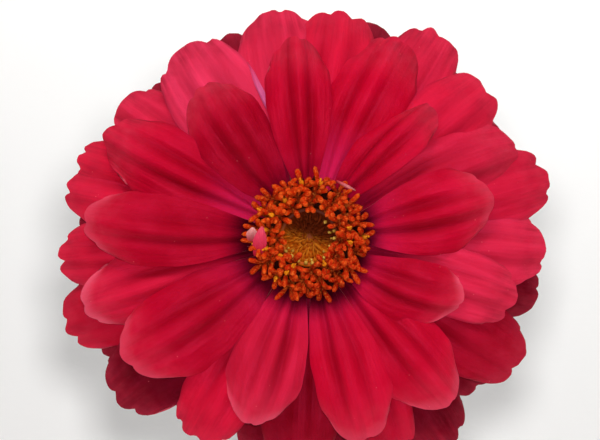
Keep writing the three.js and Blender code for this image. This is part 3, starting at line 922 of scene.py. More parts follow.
def tapering(root, tip):
    """The radius of a rod that tapers evenly and is closed at both ends."""
    return lambda t: 0 if t <= 0 or t >= 1 else root + (tip - root) * t


def pointed(widest, power):
    """The radius of a rod with two sharp ends, widest nearer its root."""
    return lambda t: widest * math.sin(math.pi * t ** power)


print("radius at the middle of a floret's lobe:", round(rounded(0.26, 0.42)(0.5), 2))

# %% [markdown]
# ## Disc florets
# The middle of the bloom is a ring of tiny flowers. Each is a short tube that opens in five fat,
# velvety orange lobes, and they point every way. Some show a golden tube of anthers. The ring has
# three rows: the outer one leans out over the petals and the inner ones stand more upright. The
# lobes are warmer at the upper left of the bloom. Painted shade darkens their roots and tubes, and a
# fine pale speckle on them is painted glints.

# %% Rows of open florets
FloretRow = namedtuple("FloretRow", "count radius height lean spread")
FLORET_ROWS = [
    FloretRow(19, 7.1, 3.1, 42, 1.0),
    FloretRow(16, 5.9, 3.9, 20, 1.0),
    FloretRow(12, 4.8, 3.8, 0, 0.85),
]
LOBES = 5
LOBE_REACH = 2.3
LOBE_ROOT = 0.26
LOBE_FLATNESS = 0.85
WARM_SIDE = math.radians(125)
ANTHER_SHARE = 0.36
dice = random.Random(11)
print("open florets:", sum(row.count for row in FLORET_ROWS))


# %% Lobes of a floret
def add_lobe(bm, place, turn, spread, warmth, seed):
    """One fat lobe that leaves the tube at a turn and bends up at its tip."""
    reach = LOBE_REACH * spread * dice.uniform(0.6, 1.1)
    rise = dice.uniform(-0.8, 1.7)
    round_about = place @ Matrix.Rotation(turn, 4, "Z")
    path = bent_in(
        round_about, (0.2, 0, -0.1), (0.5 * reach, dice.uniform(-0.3, 0.3), 1.2),
        (reach, dice.uniform(-0.5, 0.5), 0.8 + rise),
    )
    shape = rounded(LOBE_ROOT, dice.uniform(0.36, 0.47))
    look = (0.0, 0.0, min(1, max(0, warmth + dice.uniform(-0.35, 0.35))))
    add_rod(bm, 8, 9, path, shape, sideways_of(round_about), look, seed, LOBE_FLATNESS)


# %% Anthers of a floret
def add_anthers(bm, place, front, seed):
    """A golden rod that forks in two at its top."""
    top = dice.uniform(0.9, 1.5)
    upright = bent_in(place, (0, 0, 0.2), (0.1, 0, 0.7), (0.2, 0.1, top))
    add_rod(bm, 7, 6, upright, rounded(0.28, 0.36), front, (1.0, 0.0, dice.random()), seed)
    for side in (-0.45, 0.45):
        branch = bent_in(place, (0.2, 0.1, top - 0.2), (0.1, 0.1, top + 0.4), (side, 0.2, top + 0.3))
        add_rod(bm, 5, 5, branch, rounded(0.12, 0.17), front, (1.0, 0.0, dice.random()), seed)


# %% One floret
def add_floret(bm, place, spread, warmth, seed):
    """A tube, five lobes and, on some florets, golden anthers."""
    first_turn = dice.uniform(0, 2 * math.pi)
    front = place.to_3x3() @ Vector((1, 0, 0))
    tube = bent_in(place, (0, 0, -1.6), (0, 0, -0.6), (0, 0, 0.5))
    # the second look value marks the tube for painted shade
    add_rod(bm, 8, 5, tube, rounded(0.45, 0.7, 0.85), front, (0.0, 1.0, 0.0), seed)
    for k in range(LOBES):
        turn = first_turn + 2 * math.pi * (k + dice.uniform(-0.2, 0.2)) / LOBES
        add_lobe(bm, place, turn, spread, warmth, seed + 0.1 * k)
    if dice.random() < ANTHER_SHARE:
        add_anthers(bm, place, front, seed)


# %% Set the florets in their rows
def round_ring(count, start, jitter):
    """Turns spread round the bloom's axis, each a little off: (number, heading, matrix)."""
    for k in range(count):
        heading = 2 * math.pi * (k + start + dice.uniform(-jitter, jitter)) / count
        yield k, heading, Matrix.Rotation(heading, 4, "Z")


bm = bmesh.new()
for row_number, row in enumerate(FLORET_ROWS):
    for k, heading, turn in round_ring(row.count, 0.5 * row_number, 0.2):
        lean = math.radians(row.lean + dice.uniform(-16, 16))
        out = row.radius + dice.uniform(-0.35, 0.35)
        up = row.height + dice.uniform(-0.3, 0.4)
        place = turn @ Matrix.Translation((out, 0, up)) @ Matrix.Rotation(lean, 4, "Y")
        warmth = 0.5 + 0.4 * math.cos(heading - WARM_SIDE)
        add_floret(bm, place, row.spread, warmth, 3.0 * row_number + 0.31 * k)
face_out(bm)
print("faces of the florets:", len(bm.faces))

# %% Velvety orange
def floret_material():
    """Orange lobes whose roots and tubes are darkened as painted shade, with painted glints and a gold
    that the anthers show.
    """
    material = new_material("velvety_orange_floret")
    lengthwise = split_attribute(BLADE_SPOT)[1]
    golden, painted_tube_shade, warmth = split_attribute(BLADE_LOOK)
    # painted shade: the lobes darken towards their roots
    reddish = ramp(lengthwise, (0, 64, 2, 0), (0.45, 160, 12, 0), (0.8, 192, 26, 2), (1, 220, 62, 16))
    orange = ramp(lengthwise, (0, 76, 4, 0), (0.45, 180, 26, 0), (0.8, 212, 48, 2), (1, 236, 100, 28))
    colour = layers(
        blend(warmth, reddish, orange),
        # painted shade on the tubes between the lobes
        (painted_tube_shade, 84, 8, 2),
        (golden, 240, 146, 20),
        (times(grain_of(0.0008, 0.45, 0.65), 0.36), 140, 14, 0),
        # painted glints: a fine pale speckle
        (times(grain_of(0.0003, 0.45, 0.65), 0.35), 250, 128, 50),
    )
    height = grain_of(0.0003)
    dull = shift(height, 0, 1, 0.42, 0.28)
    glow = (0.15, (1.0, 0.3, 0.08), 0.0003)
    velvet = {"Specular Tint": paint(255, 140, 80)}
    return finish_surface(material, colour, dull, height, 0.00012, 0.5, glow, velvet)


finish_piece("open_florets", bm, bloom_place, [floret_material()], "disc_florets")

# %% [markdown]
# ## The ring's bed and the dry scales
# The florets stand on a raised ring. Between them and round them are chaffy scales. The bed and the
# scales' feet are nearly black, partly their own colour and partly painted shade, and make the dark
# line between the orange ring and the petals.

# %% Bed and chaff
BED_PROFILE = [
    (3.9, 0.3), (5.5, 0.3), (6.3, 1.4), (6.8, 2.3), (6.3, 2.9), (5.4, 3.3), (4.6, 3.1), (4.1, 2.2),
    (3.9, 0.3),
]
CHAFF_COUNT = 34

bm = spun(BED_PROFILE, 40)
for k, heading, turn in round_ring(CHAFF_COUNT, 0, 0.3):
    reach = dice.uniform(8.0, 9.1)
    path = bent_in(turn, (5.4, 0, 0.2), (6.9, 0, 1.2), (reach, 0, dice.uniform(1.6, 2.8)))
    add_rod(bm, 6, 6, path, pointed(0.62, 0.8), sideways_of(turn), (1, 0, 0), k, 0.25)
face_out(bm)
print("pieces of chaff:", CHAFF_COUNT)


# %% Dry chaff
def chaff_material():
    """Nearly black at the foot, partly as painted shade, brown at the tip."""
    material, lengthwise, streaks = streaked_material("dry_chaff", 5.0)
    # painted shade, partly: the near-black foot and bed
    brown = ramp(lengthwise, (0.0, 34, 4, 3), (0.7, 44, 8, 6), (1.0, 80, 26, 16))
    colour = layers(brown, (times(streaks, 0.3), 56, 24, 8))
    return finish_surface(material, colour, shift(streaks, 0, 1, 0.9, 0.7), streaks, 0.0001, 0.03)


finish_piece("ring_bed_and_chaff", bm, bloom_place, [chaff_material()], "disc_florets")

# %% [markdown]
# ## Pink scales among the florets
# Here and there a floret turns into a scrap of petal. Two small ones stand side by side at the left
# of the ring, one nearly white and one a strong pink, and a thin one arches over at the upper right.
# Like the petals they are blades, here bent up from the ring.

# %% Scraps of petal
Scrap = namedtuple("Scrap", "foot tip lift width pale")
SCRAPS = [
    Scrap(Vector((-7.3, -2.8, 4.0)), Vector((-6.7, 1.5, 6.6)), 1.7, 2.0, 0.0),
    Scrap(Vector((-8.2, -0.6, 4.2)), Vector((-8.0, 1.4, 6.3)), 1.0, 1.7, 0.9),
    Scrap(Vector((3.9, 8.0, 2.8)), Vector((6.7, 6.6, 3.6)), 2.6, 0.5, 0.7),
]


# %% Shape and finish of the scraps
def scrap_place(scrap):
    """The formula of a scrap: a small spoon that arches from its foot to its tip."""
    middle = (scrap.foot + scrap.tip) / 2 + Vector((0, 0, scrap.lift))
    path = bent_path(scrap.foot, middle, scrap.tip)
    sideways = Vector((0, 0, 1)).cross(scrap.tip - scrap.foot).normalized()

    def place(u, v):
        half = scrap.width / 2 * (0.35 + 0.65 * math.sin(math.pi * min(1, 0.12 + 0.8 * v)))
        sag = Vector((0, 0, -0.35 * u * u))
        return path(v * (1 - 0.15 * u * u * v)) + sideways * (u * half) + sag, (scrap.pale, 0, 0)

    return place


def scrap_material():
    """Pink or nearly white, with veins in a stronger pink."""
    material, lengthwise, streaks = streaked_material("pink_scrap_of_petal", 4.0)
    pink = ramp(lengthwise, (0.0, 214, 24, 60), (0.6, 226, 48, 84), (1.0, 232, 70, 98))
    white = ramp(lengthwise, (0.0, 214, 70, 84), (0.5, 232, 148, 146), (1.0, 236, 172, 164))
    base = blend(split_attribute(BLADE_LOOK)[0], pink, white)
    colour = layers(base, (shift(streaks, 0, 1, 0.3, 0), 180, 20, 50))
    dull = shift(streaks, 0, 1, 0.6, 0.45)
    glow = (0.2, (1.0, 0.3, 0.3), 0.0005)
    return finish_surface(material, colour, dull, streaks, 0.00006, 0.3, glow)


SCRAP_THICKNESS = 0.2
SCRAP_SEED = 80
bm = bmesh.new()
for seed, scrap in enumerate(SCRAPS, SCRAP_SEED):
    add_blade(bm, 8, 10, seed, scrap_place(scrap))
scrap_sides = [scrap_material(), petal_underside]
finish_piece("scraps_of_petal", bm, bloom_place, scrap_sides, "disc_florets", SCRAP_THICKNESS)

# %% [markdown]
# ## The crater
# The middle of the disc hasn't opened yet. It is a small bowl lined with dry, pointed scales that
# lean to the axis, painted dark brown on the upper side as shade and gold on the lower side as light,
# with a circle of closed, yellow green buds just inside the ring.

# %% Bowl of the crater
CRATER_PROFILE = [
    (0, 0.3), (3.7, 0.3), (4.3, 2.6), (4.1, 3.0), (3.4, 2.5), (2.4, 1.4), (1.4, 0.7), (0.6, 0.5),
    (0, 0.45),
]


def painted_light_share(place):
    """Painted shade and light: dark brown on the upper side of the crater, gold on the lower side."""
    return smooth_step(1.4, -1.6, place.y + 0.3 * place.x)


bm = spun(CRATER_PROFILE, 40)
bowl_spot = corner_values(bm, BLADE_SPOT)
bowl_look = corner_values(bm, BLADE_LOOK)
for corner in bm.verts:
    corner[bowl_spot] = (0, 0.35, 0)
    corner[bowl_look] = (0, 0.6, painted_light_share(corner.co))
print("corners of the bowl:", len(bm.verts))

# %% Rings of scales
ScaleRing = namedtuple("ScaleRing", "count radius height length")
SCALE_RINGS = [
    ScaleRing(34, 3.85, 2.5, 1.9), ScaleRing(32, 3.3, 2.0, 1.9), ScaleRing(28, 2.7, 1.5, 1.8),
    ScaleRing(24, 2.1, 1.1, 1.6), ScaleRing(18, 1.5, 0.8, 1.3), ScaleRing(12, 0.9, 0.6, 1.0),
]

for ring_number, ring in enumerate(SCALE_RINGS):
    for k, heading, turn in round_ring(ring.count, 0.5 * ring_number, 0.45):
        length = ring.length * dice.uniform(0.6, 1.2)
        foot = (ring.radius, 0, ring.height - 0.3)
        bend = (ring.radius - 0.15 * length, 0, ring.height + 0.3 * length)
        top = (ring.radius - 0.7 * length, dice.uniform(-0.35, 0.35), ring.height + 0.4 * length)
        look = (0, dice.random(), painted_light_share(turn @ Vector(foot)))
        path = bent_in(turn, foot, bend, top)
        add_rod(bm, 6, 6, path, pointed(0.24, 0.7), sideways_of(turn), look, k, 0.35)
print("scales:", sum(ring.count for ring in SCALE_RINGS))

# %% Closed buds round the scales
BudRing = namedtuple("BudRing", "count radius height size")
BUD_RINGS = [BudRing(22, 4.0, 3.3, 0.34), BudRing(20, 3.4, 2.8, 0.26)]
MOST_HIDDEN_FROM = 20
MOST_HIDDEN_TO = 205
HIDDEN_SHARE = 0.8

for ring_number, ring in enumerate(BUD_RINGS):
    for k, heading, turn in round_ring(ring.count, 0.5 * ring_number, 0.3):
        far_side = MOST_HIDDEN_FROM < math.degrees(heading) < MOST_HIDDEN_TO
        if far_side and dice.random() < HIDDEN_SHARE:
            continue
        foot = Vector((ring.radius, 0, ring.height - 1.2))
        top = Vector((ring.radius - dice.uniform(0.1, 0.6), 0, ring.height + dice.uniform(0.0, 0.6)))
        look = (1, dice.random(), 0)
        swell = ring.size * dice.uniform(0.75, 1.15)
        path = bent_in(turn, foot, (foot + top) / 2, top)
        add_rod(bm, 7, 7, path, rounded(0.8 * swell, swell), sideways_of(turn), look, k)
face_out(bm)
print("faces of the crater:", len(bm.faces))


# %% Brown, gold and yellow green
def crater_material():
    """Scales painted brown as shade and gold as light, and the yellow green of the closed buds."""
    material, lengthwise, streaks = streaked_material("dry_scales_and_buds", 4.0)
    bud, chance, gold = split_attribute(BLADE_LOOK)
    brown = ramp(lengthwise, (0.0, 50, 8, 2), (0.6, 78, 20, 4), (1.0, 112, 42, 10))
    golden = ramp(lengthwise, (0.0, 150, 54, 4), (0.5, 200, 94, 8), (1.0, 226, 138, 36))
    green = ramp(lengthwise, (0.0, 120, 50, 10), (0.7, 186, 120, 26), (1.0, 226, 184, 84))
    # painted shade and light: brown on the upper side, gold on the lower side
    scale_colour = layers(blend(gold, brown, golden), (times(chance, 0.4), 124, 44, 8))
    bud_colour = layers(green, (times(chance, 0.5), 170, 96, 16))
    colour = blend(bud, scale_colour, bud_colour)
    return finish_surface(material, colour, shift(streaks, 0, 1, 0.6, 0.42), streaks, 0.00006, 0.06)


finish_piece("crater_scales_and_buds", bm, bloom_place, [crater_material()], "disc_centre")

# %% [markdown]
# ## The stem
# The stem rises from the soil with slight bends and curls forward under the bloom. It is ribbed and
# covered with short, stiff, pale hairs that stand straight out, so its edge looks soft.

# %% Line of the stem
def behind_bloom(distance):
    """A point on the bloom's axis, behind its middle."""
    return HEAD_MIDDLE + distance * Vector((0, math.sin(HEAD_TILT), -math.cos(HEAD_TILT)))


STEM_POINTS = [
    Vector((0, 0, 63)), Vector((0, 0.5, 90)), Vector((-1, 2.5, 120)), Vector((0.8, 5, 150)),
    Vector((0, 6, 175)), behind_bloom(20), behind_bloom(11),
]
STEM_HAIRS = 900
stem_radius = tapering(2.8, 1.7)


def stem_path(t):
    """The middle of the stem at share t of its length."""
    return Vector([along([point[i] for point in STEM_POINTS], t) for i in range(3)])


def stem_at(height):
    """Where the stem is at a given height."""
    return next(place for place in (stem_path(k / 400) for k in range(401)) if place.z >= height)


print("the stem leans this far back half way up, in mm:", round(stem_at(120).y, 1))


# %% Hairs of a stem
def add_hair(bm, root, direction, length, thickness):
    """A tiny three-sided spike."""
    turn = direction.to_track_quat("Z", "Y").to_matrix().to_4x4()
    place = Matrix.Translation(root + direction * (0.45 * length)) @ turn
    bmesh.ops.create_cone(
        bm, cap_ends=True, cap_tris=True, segments=3, radius1=thickness, radius2=0.01, depth=length,
        matrix=place,
    )


def add_hairs(bm, count, path, radius_at, first, lengths, thickness, leans=None):
    """Hairs that stand out from a rod, from its share first on, at random places and turns."""
    for k in range(count):
        t = dice.uniform(first, 0.98)
        ahead = (path(t + 0.01) - path(t - 0.01)).normalized()
        turn = Matrix.Rotation(dice.uniform(0, 2 * math.pi), 3, ahead)
        outward = turn @ ahead.orthogonal().normalized()
        lean = dice.uniform(*leans) if leans else 0
        direction = (outward + ahead * lean).normalized()
        add_hair(bm, path(t) + outward * radius_at(t), direction, dice.uniform(*lengths), thickness)


bm = bmesh.new()
add_rod(bm, 20, 90, stem_path, stem_radius, Vector((1, 0, 0)), (0.0, 0.0, 0.0), 5.0)
add_hairs(bm, STEM_HAIRS, stem_path, stem_radius, 0.11, (0.6, 1.3), 0.045, (-0.2, 0.35))
face_out(bm)
print("hairs of the stem:", STEM_HAIRS)

# %% Stem green
def stem_material():
    """Ribbed green, paler on the ribs and browner at the foot."""
    material, lengthwise, ribs = streaked_material("ribbed_green_stem", 7.0)
    colour = layers(
        ramp(lengthwise, (0.0, 112, 104, 62), (0.2, 98, 122, 58), (1.0, 116, 140, 74)),
        (times(ribs, 0.45), 146, 160, 96),
        (times(grain_of(0.006, 0.5, 0.7), 0.3), 120, 74, 62),
    )
    height = plus(ribs, times(grain_of(0.0005), 0.3))
    dull = shift(ribs, 0, 1, 0.62, 0.5)
    glow = (0.1, (0.4, 0.8, 0.1), 0.0006)
    return finish_surface(material, colour, dull, height, 0.0003, 0.5, glow)


stem_green = stem_material()
finish_piece("hairy_stem", bm, in_millimetres, [stem_green], "leafy_stem")

# %% [markdown]
# ## Leaves
# The leaves sit in opposite pairs without stalks, each pair a quarter turn from the last. A leaf is
# an egg-shaped blade that folds up from its midrib, arches and droops. Three strong veins start at
# its root, and the skin between the finer ones is puffed up and rough.

# %% Leaf formula
LeafPair = namedtuple("LeafPair", "height angle length width pitch")
LEAF_PAIRS = [
    LeafPair(150, 84, 40, 14, (52, -30)),
    LeafPair(112, -4, 50, 18, (44, -34)),
    LeafPair(98, 94, 50, 18, (38, -34)),
    LeafPair(88, 10, 40, 15, (34, -28)),
]
LEAF_OUTLINE = [0.2, 0.78, 1.0, 0.95, 0.76, 0.48, 0.1]
LEAF_FOLD = 0.35
LEAF_THICKNESS = 0.4


def leaf_place(root, angle, length, width, pitch, seed):
    """The formula of one leaf, ready for add_blade."""
    line = arch(*pitch, 0)
    outward = outward_at(math.radians(angle))

    def place(u, v):
        out, up, slope = on_line(line, v)
        sideways, normal = across_and_above(outward, slope)
        wavy = 1 + 0.04 * ripple(6 * v, math.copysign(2, u), seed)
        half = width / 2 * along(LEAF_OUTLINE, v) * wavy
        fold = half * abs(u) * LEAF_FOLD * (1 - 0.4 * v)
        side_vein = math.exp(-((abs(u) - 0.5 * (1 - 0.6 * v * v)) / 0.09) ** 2) * (1 - v)
        midrib = math.exp(-(u / 0.07) ** 2)
        puff = 0.03 * width * (0.5 * ripple(2.4 * u, 7 * v, seed) - 0.4 * side_vein - 0.5 * midrib)
        wave = 0.045 * width * u * u * ripple(u, 5 * v, seed + 0.4)
        lift = fold + puff + wave + 0.5 * LEAF_THICKNESS
        on_midrib = root + outward * (out * length) + Vector((0, 0, up * length))
        return on_midrib + sideways * (u * half) + normal * lift, (0, 0, 0)

    return place


print("leaves:", 2 * len(LEAF_PAIRS))


# %% Veins of a leaf
def leaf_veins(lengthwise, off_middle):
    """The midrib and two side veins that bend in towards it at the tip."""
    off_side = plus(off_middle, times(times(lengthwise, lengthwise), 0.3))
    side_veins = reckon("COMPARE", off_side, 0.5, 0.028)
    side_veins = times(side_veins, shift(lengthwise, 0.5, 0.9, 1, 0))
    return reckon("MAXIMUM", shift(off_middle, 0.02, 0.07, 1, 0), side_veins)


def leaf_cells(across, lengthwise, seed, off_middle):
    """How far each spot is from the net of fine veins."""
    slanted = plus(times(lengthwise, 11.0), times(off_middle, -2.0))
    net_place = place_from(times(across, 3.4), slanted, times(seed, 3.7))
    cells = add("TexVoronoi", {"feature": "DISTANCE_TO_EDGE"}, {"Vector": net_place, "Scale": 1.6})
    return cells.outputs["Distance"]


# %% Leaf green
def leaf_material(name, dark, middle, pale):
    """Green with a pale midrib, two side veins and a net of fine ones."""
    material = new_material(name)
    across, lengthwise, seed = split_attribute(BLADE_SPOT)
    off_middle = reckon("ABSOLUTE", across)
    cells = leaf_cells(across, lengthwise, seed, off_middle)
    colour = layers(
        ramp(grain_of(0.007, 0.3, 0.7), (0, *dark), (1, *middle)),
        (times(shift(cells, 0.0, 0.12, 1, 0), 0.35), *pale),
        (times(leaf_veins(lengthwise, off_middle), 0.75), *pale),
        (shift(off_middle, 0.86, 1.0, 0, 0.35), *pale),
    )
    puffs = shift(cells, 0.0, 0.3, 0, 1)
    height = plus(times(puffs, 0.8), times(grain_of(0.0007), 0.3))
    dull = shift(puffs, 0, 1, 0.6, 0.45)
    glow = (0.12, (0.35, 0.9, 0.1), 0.0006)
    return finish_surface(material, colour, dull, height, 0.0002, 0.5, glow)


leaf_sides = [
    leaf_material("leaf_upper_green", (54, 84, 32), (82, 114, 42), (140, 158, 84)),
    leaf_material("leaf_lower_green", (104, 128, 74), (122, 146, 86), (168, 182, 126)),
]

# %% Grow the leaves
bm = bmesh.new()
for k, pair in enumerate(LEAF_PAIRS):
    for side in (0, 180):
        seed = 3.0 + k + side / 360
        root = stem_at(pair.height)
        blade = leaf_place(root, pair.angle + side, pair.length, pair.width, pair.pitch, seed)
        add_blade(bm, 22, 34, seed, blade)
finish_piece("leaves", bm, in_millimetres, leaf_sides, "leafy_stem", LEAF_THICKNESS)

# %% [markdown]
# ## Side shoots
# From the axils of the leaves grow three side shoots. Each is a thin green rod with two pairs of
# small leaves and a closed bud, covered by overlapping scales.

# %% Sizes of the shoots
Shoot = namedtuple("Shoot", "height angle length pitch bud")
SHOOTS = [Shoot(113, -8, 25, 64, 3.6), Shoot(113, 172, 20, 66, 3.0), Shoot(99, 84, 36, 58, 3.2)]
SHOOT_LEAF_LENGTH = 21
SHOOT_LEAF_WIDTH = 8
SHOOT_HAIRS = 110
TWIG_FRONT = Vector((0.3, 1, 0))
twig_radius = tapering(1.3, 0.9)


# %% Leaves of a shoot
def add_shoot_leaves(bm, twig, angle, number):
    """Two pairs of small leaves, the upper one a quarter turn on and smaller."""
    for level, share in enumerate((0.5, 0.86)):
        for side in (0, 180):
            size = 1 - 0.25 * level
            seed = 20.0 + 4 * number + level + side / 360
            length, width = SHOOT_LEAF_LENGTH * size, SHOOT_LEAF_WIDTH * size
            heading = angle + 90 + 90 * level + side
            add_blade(bm, 14, 22, seed, leaf_place(twig(share), heading, length, width, (50, -20), seed))


print("small leaves:", 4 * len(SHOOTS))

# %% Grow the shoots
twigs = bmesh.new()
small_leaves = bmesh.new()
bud_places = []
for number, shoot in enumerate(SHOOTS):
    root = stem_at(shoot.height)
    outward = outward_at(math.radians(shoot.angle))
    slope = math.radians(shoot.pitch)
    tip = root + shoot.length * (outward * math.cos(slope) + Vector((0, 0, math.sin(slope))))
    twig = bent_path(root, (root + tip) / 2 + outward * (0.1 * shoot.length), tip)
    add_rod(twigs, 12, 20, twig, twig_radius, TWIG_FRONT, (0, 0, 0), number)
    add_hairs(twigs, SHOOT_HAIRS, twig, twig_radius, 0.1, (0.5, 1.0), 0.04)
    add_shoot_leaves(small_leaves, twig, shoot.angle, number)
    bud_middle = tip + Vector((0, 0, 0.7 * shoot.bud))
    bud_places.append(Matrix.Translation(bud_middle) @ Matrix.Scale(shoot.bud, 4))
face_out(twigs)
finish_piece("side_shoots", twigs, in_millimetres, [stem_green], "leafy_stem")
finish_piece("shoot_leaves", small_leaves, in_millimetres, leaf_sides, "leafy_stem", LEAF_THICKNESS)

# %% [markdown]
# ## Bracts
# Behind the bloom sits a cup of bracts that overlap like tiles. Each bract is a round-tipped green
# scale with a thin, dark, papery edge. The same scales, smaller, close the buds of the side shoots.

# %% Bracts as bent blades
BRACT_OUTLINE = [0.95, 1.0, 1.0, 0.98, 0.9, 0.7, 0.25]


def bract_place(heading, half_angle, start, lip, bulge, flare):
    """A scale from start to lip, both (radius, height), bent round the axis."""
    def place(u, v):
        radius = start[0] + (lip[0] - start[0]) * v + bulge * math.sin(math.pi * v) + flare * v ** 4
        height = start[1] + (lip[1] - start[1]) * v - 0.5 * bulge * math.sin(math.pi * v)
        radius += 0.12 * bulge * (1 - u * u)
        turn = heading + u * half_angle * along(BRACT_OUTLINE, v)
        return Vector((radius * math.cos(turn), radius * math.sin(turn), height)), (0, 0, 0)
    return place


def add_bracts(bm, rows, count, overlap, columns, steps):
    """Rows of bracts, each row turned by half a bract."""
    for number, (start, lip, bulge, flare) in enumerate(rows):
        for k in range(count):
            heading = 2 * math.pi * (k + 0.5 * (number % 2)) / count
            blade = bract_place(heading, overlap * math.pi / count, start, lip, bulge, flare)
            add_blade(bm, columns, steps, 0.37 * k + number, blade)


print("width of a bract near its tip:", round(along(BRACT_OUTLINE, 0.9), 2))


# %% Green with a dark edge
def bract_material():
    """Green scales that darken to a thin brown edge at the tip."""
    material, lengthwise, streaks = streaked_material("bract_green_with_dark_edge", 5.0)
    across = split_attribute(BLADE_SPOT)[0]
    edge = plus(lengthwise, times(times(across, across), 0.22))
    green = ramp(streaks, (0, 86, 108, 50), (1, 122, 142, 76))
    colour = layers(green, (shift(edge, 0.9, 1.02, 0, 0.9), 46, 26, 24))
    return finish_surface(material, colour, shift(streaks, 0, 1, 0.62, 0.5), streaks, 0.00012)


bract_green = bract_material()
bract_sides = [bract_green, bract_green]

# %% Cup of bracts behind the bloom
CUP_THICKNESS = 0.25
CUP_BODY = [(0, -12), (2.3, -12), (4.5, -10), (6.4, -7.7), (7.2, -5.2), (7.0, -4.7), (0, -4.7)]
CUP_ROWS = [
    ((2.2, -11.9), (5.0, -9.6), 0.35, 0.1),
    ((4.3, -10.3), (7.0, -7.2), 0.35, 0.1),
    ((6.1, -8.2), (8.0, -4.8), 0.3, 0.1),
]
bm = bmesh.new()
add_bracts(bm, CUP_ROWS, 11, 1.35, 10, 12)
finish_piece("cup_bracts", bm, bloom_place, bract_sides, "leafy_stem", CUP_THICKNESS)

bm = spun(CUP_BODY, 40)
face_out(bm)
finish_piece("cup_body", bm, bloom_place, [bract_green], "leafy_stem")

# %% Closed buds on the shoots
BUD_THICKNESS = 0.2
BUD_BODY = [(0, -1), (0.55, -0.85), (0.86, -0.35), (0.88, 0.05), (0.68, 0.5), (0.35, 0.68), (0, 0.73)]
BUD_ROWS = [
    ((0.25, -0.98), (0.84, -0.2), 0.12, 0.0),
    ((0.72, -0.6), (0.82, 0.35), 0.1, 0.0),
    ((0.84, -0.1), (0.34, 0.7), 0.16, 0.0),
]


def add_carried(bm, part, place):
    """Adds a part to bm, carried to its place, and frees the part."""
    part.transform(place)
    carried = bpy.data.meshes.new("carried")
    part.to_mesh(carried)
    part.free()
    bm.from_mesh(carried)
    bpy.data.meshes.remove(carried)


bud_scales, bud_bodies = bmesh.new(), bmesh.new()
for place in bud_places:
    scales = bmesh.new()
    add_bracts(scales, BUD_ROWS, 8, 1.3, 6, 8)
    add_carried(bud_scales, scales, place)
    add_carried(bud_bodies, spun(BUD_BODY, 24), place)
face_out(bud_bodies)
finish_piece("bud_scales", bud_scales, in_millimetres, bract_sides, "leafy_stem", BUD_THICKNESS)
finish_piece("bud_bodies", bud_bodies, in_millimetres, [bract_green], "leafy_stem")

# %% [markdown]
# ## Soil
# Moist potting mix is dark brown and crumbly, with bits of bark and a few white grains of perlite.
# The body is spun with a hole for the stem and roughened. Crumbs are strewn on top.

# %% Soil body
SOIL_TOP = 76
SOIL_DOME = 3
SOIL_BOTTOM = 5.3
HOLE_RADIUS = 3.3
HOLE_BOTTOM = 62
CLEAR = 0.3


def pot_inside(height):
    """The inner radius of the pot at a height."""
    return 30 + 12 / 64 * height


def soil_height(x, y):
    """The lumpy top of the soil."""
    radius = math.hypot(x, y)
    share = min(1, radius / (pot_inside(75) - CLEAR))
    near_wall = min(1, (1 - share) * 6)
    rise = SOIL_DOME * (1 - smooth_step(0.3, 0.95, share)) - 1.4 * smooth_step(0.88, 1, share)
    lumps = 0.9 * noise.noise(Vector((0.16 * x, 0.16 * y, 3)))
    lumps += 0.45 * noise.noise(Vector((0.6 * x, 0.6 * y, 8)))
    return SOIL_TOP + rise + lumps * near_wall


TOP_RINGS = 32
top_reach = pot_inside(74.5) - CLEAR - HOLE_RADIUS
hole = [(0, HOLE_BOTTOM), (HOLE_RADIUS, HOLE_BOTTOM)]
top = [(HOLE_RADIUS + top_reach * k / TOP_RINGS, SOIL_TOP) for k in range(TOP_RINGS + 1)]
wall = [(pot_inside(height) - CLEAR, height) for height in (40, SOIL_BOTTOM)]
bm = spun(hole + top + wall + [(0, SOIL_BOTTOM)], 110)
for corner in bm.verts:
    if abs(corner.co.z - SOIL_TOP) < 0.01:
        corner.co.z = soil_height(corner.co.x, corner.co.y)
face_out(bm)
print("corners of the soil's body:", len(bm.verts))

# %% Crumbs, bark and perlite
Crumb = namedtuple("Crumb", "count small large flat kind")
CRUMBS = [
    Crumb(900, 0.5, 1.5, 0.8, (0, 0, 0)),
    Crumb(130, 0.9, 2.2, 0.35, (1, 0, 0)),
    Crumb(46, 0.6, 1.2, 0.9, (0, 1, 0)),
]
STREWN_RADIUS = 39.5
CLEAR_SHARE = 0.013
kinds = corner_values(bm, BLADE_LOOK)
for crumb in CRUMBS:
    for k in range(crumb.count):
        turn = dice.uniform(0, 2 * math.pi)
        radius = STREWN_RADIUS * math.sqrt(dice.uniform(CLEAR_SHARE, 1))
        x, y = radius * math.cos(turn), radius * math.sin(turn)
        size = dice.uniform(crumb.small, crumb.large) / 2
        spin = Matrix.Rotation(dice.uniform(0, 6.3), 4, "Z")
        tilt = Matrix.Rotation(dice.uniform(-0.6, 0.6), 4, "X")
        shape = Matrix.Diagonal((size * dice.uniform(1, 1.6), size, size * crumb.flat, 1))
        place = Matrix.Translation((x, y, soil_height(x, y) + 0.25 * size)) @ spin @ tilt @ shape
        lump = bmesh.ops.create_icosphere(bm, subdivisions=1, radius=1, matrix=place)
        for corner in lump["verts"]:
            corner.co += Vector([dice.uniform(-0.22, 0.22) * size for axis in range(3)])
            corner[kinds] = (crumb.kind[0], crumb.kind[1], dice.random())
bm.normal_update()
print("crumbs:", sum(crumb.count for crumb in CRUMBS))


# %% Brown, bark and perlite
def soil_material():
    """Dark crumbs, reddish bark and white perlite."""
    material = new_material("moist_potting_soil")
    bark, perlite, chance = split_attribute(BLADE_LOOK)
    colour = layers(
        ramp(grain_of(0.0016), (0, 30, 20, 15), (1, 66, 46, 33)),
        (bark, 104, 64, 40),
        (times(chance, 0.5), 48, 34, 25),
        (perlite, 214, 208, 196),
    )
    height = plus(grain_of(0.0012), times(grain_of(0.0004), 0.5))
    return finish_surface(material, colour, shift(height, 0, 1.5, 0.95, 0.7), height, 0.0004, 0.3)


finish_piece("soil_with_crumbs", bm, in_millimetres, [soil_material()], "soil")

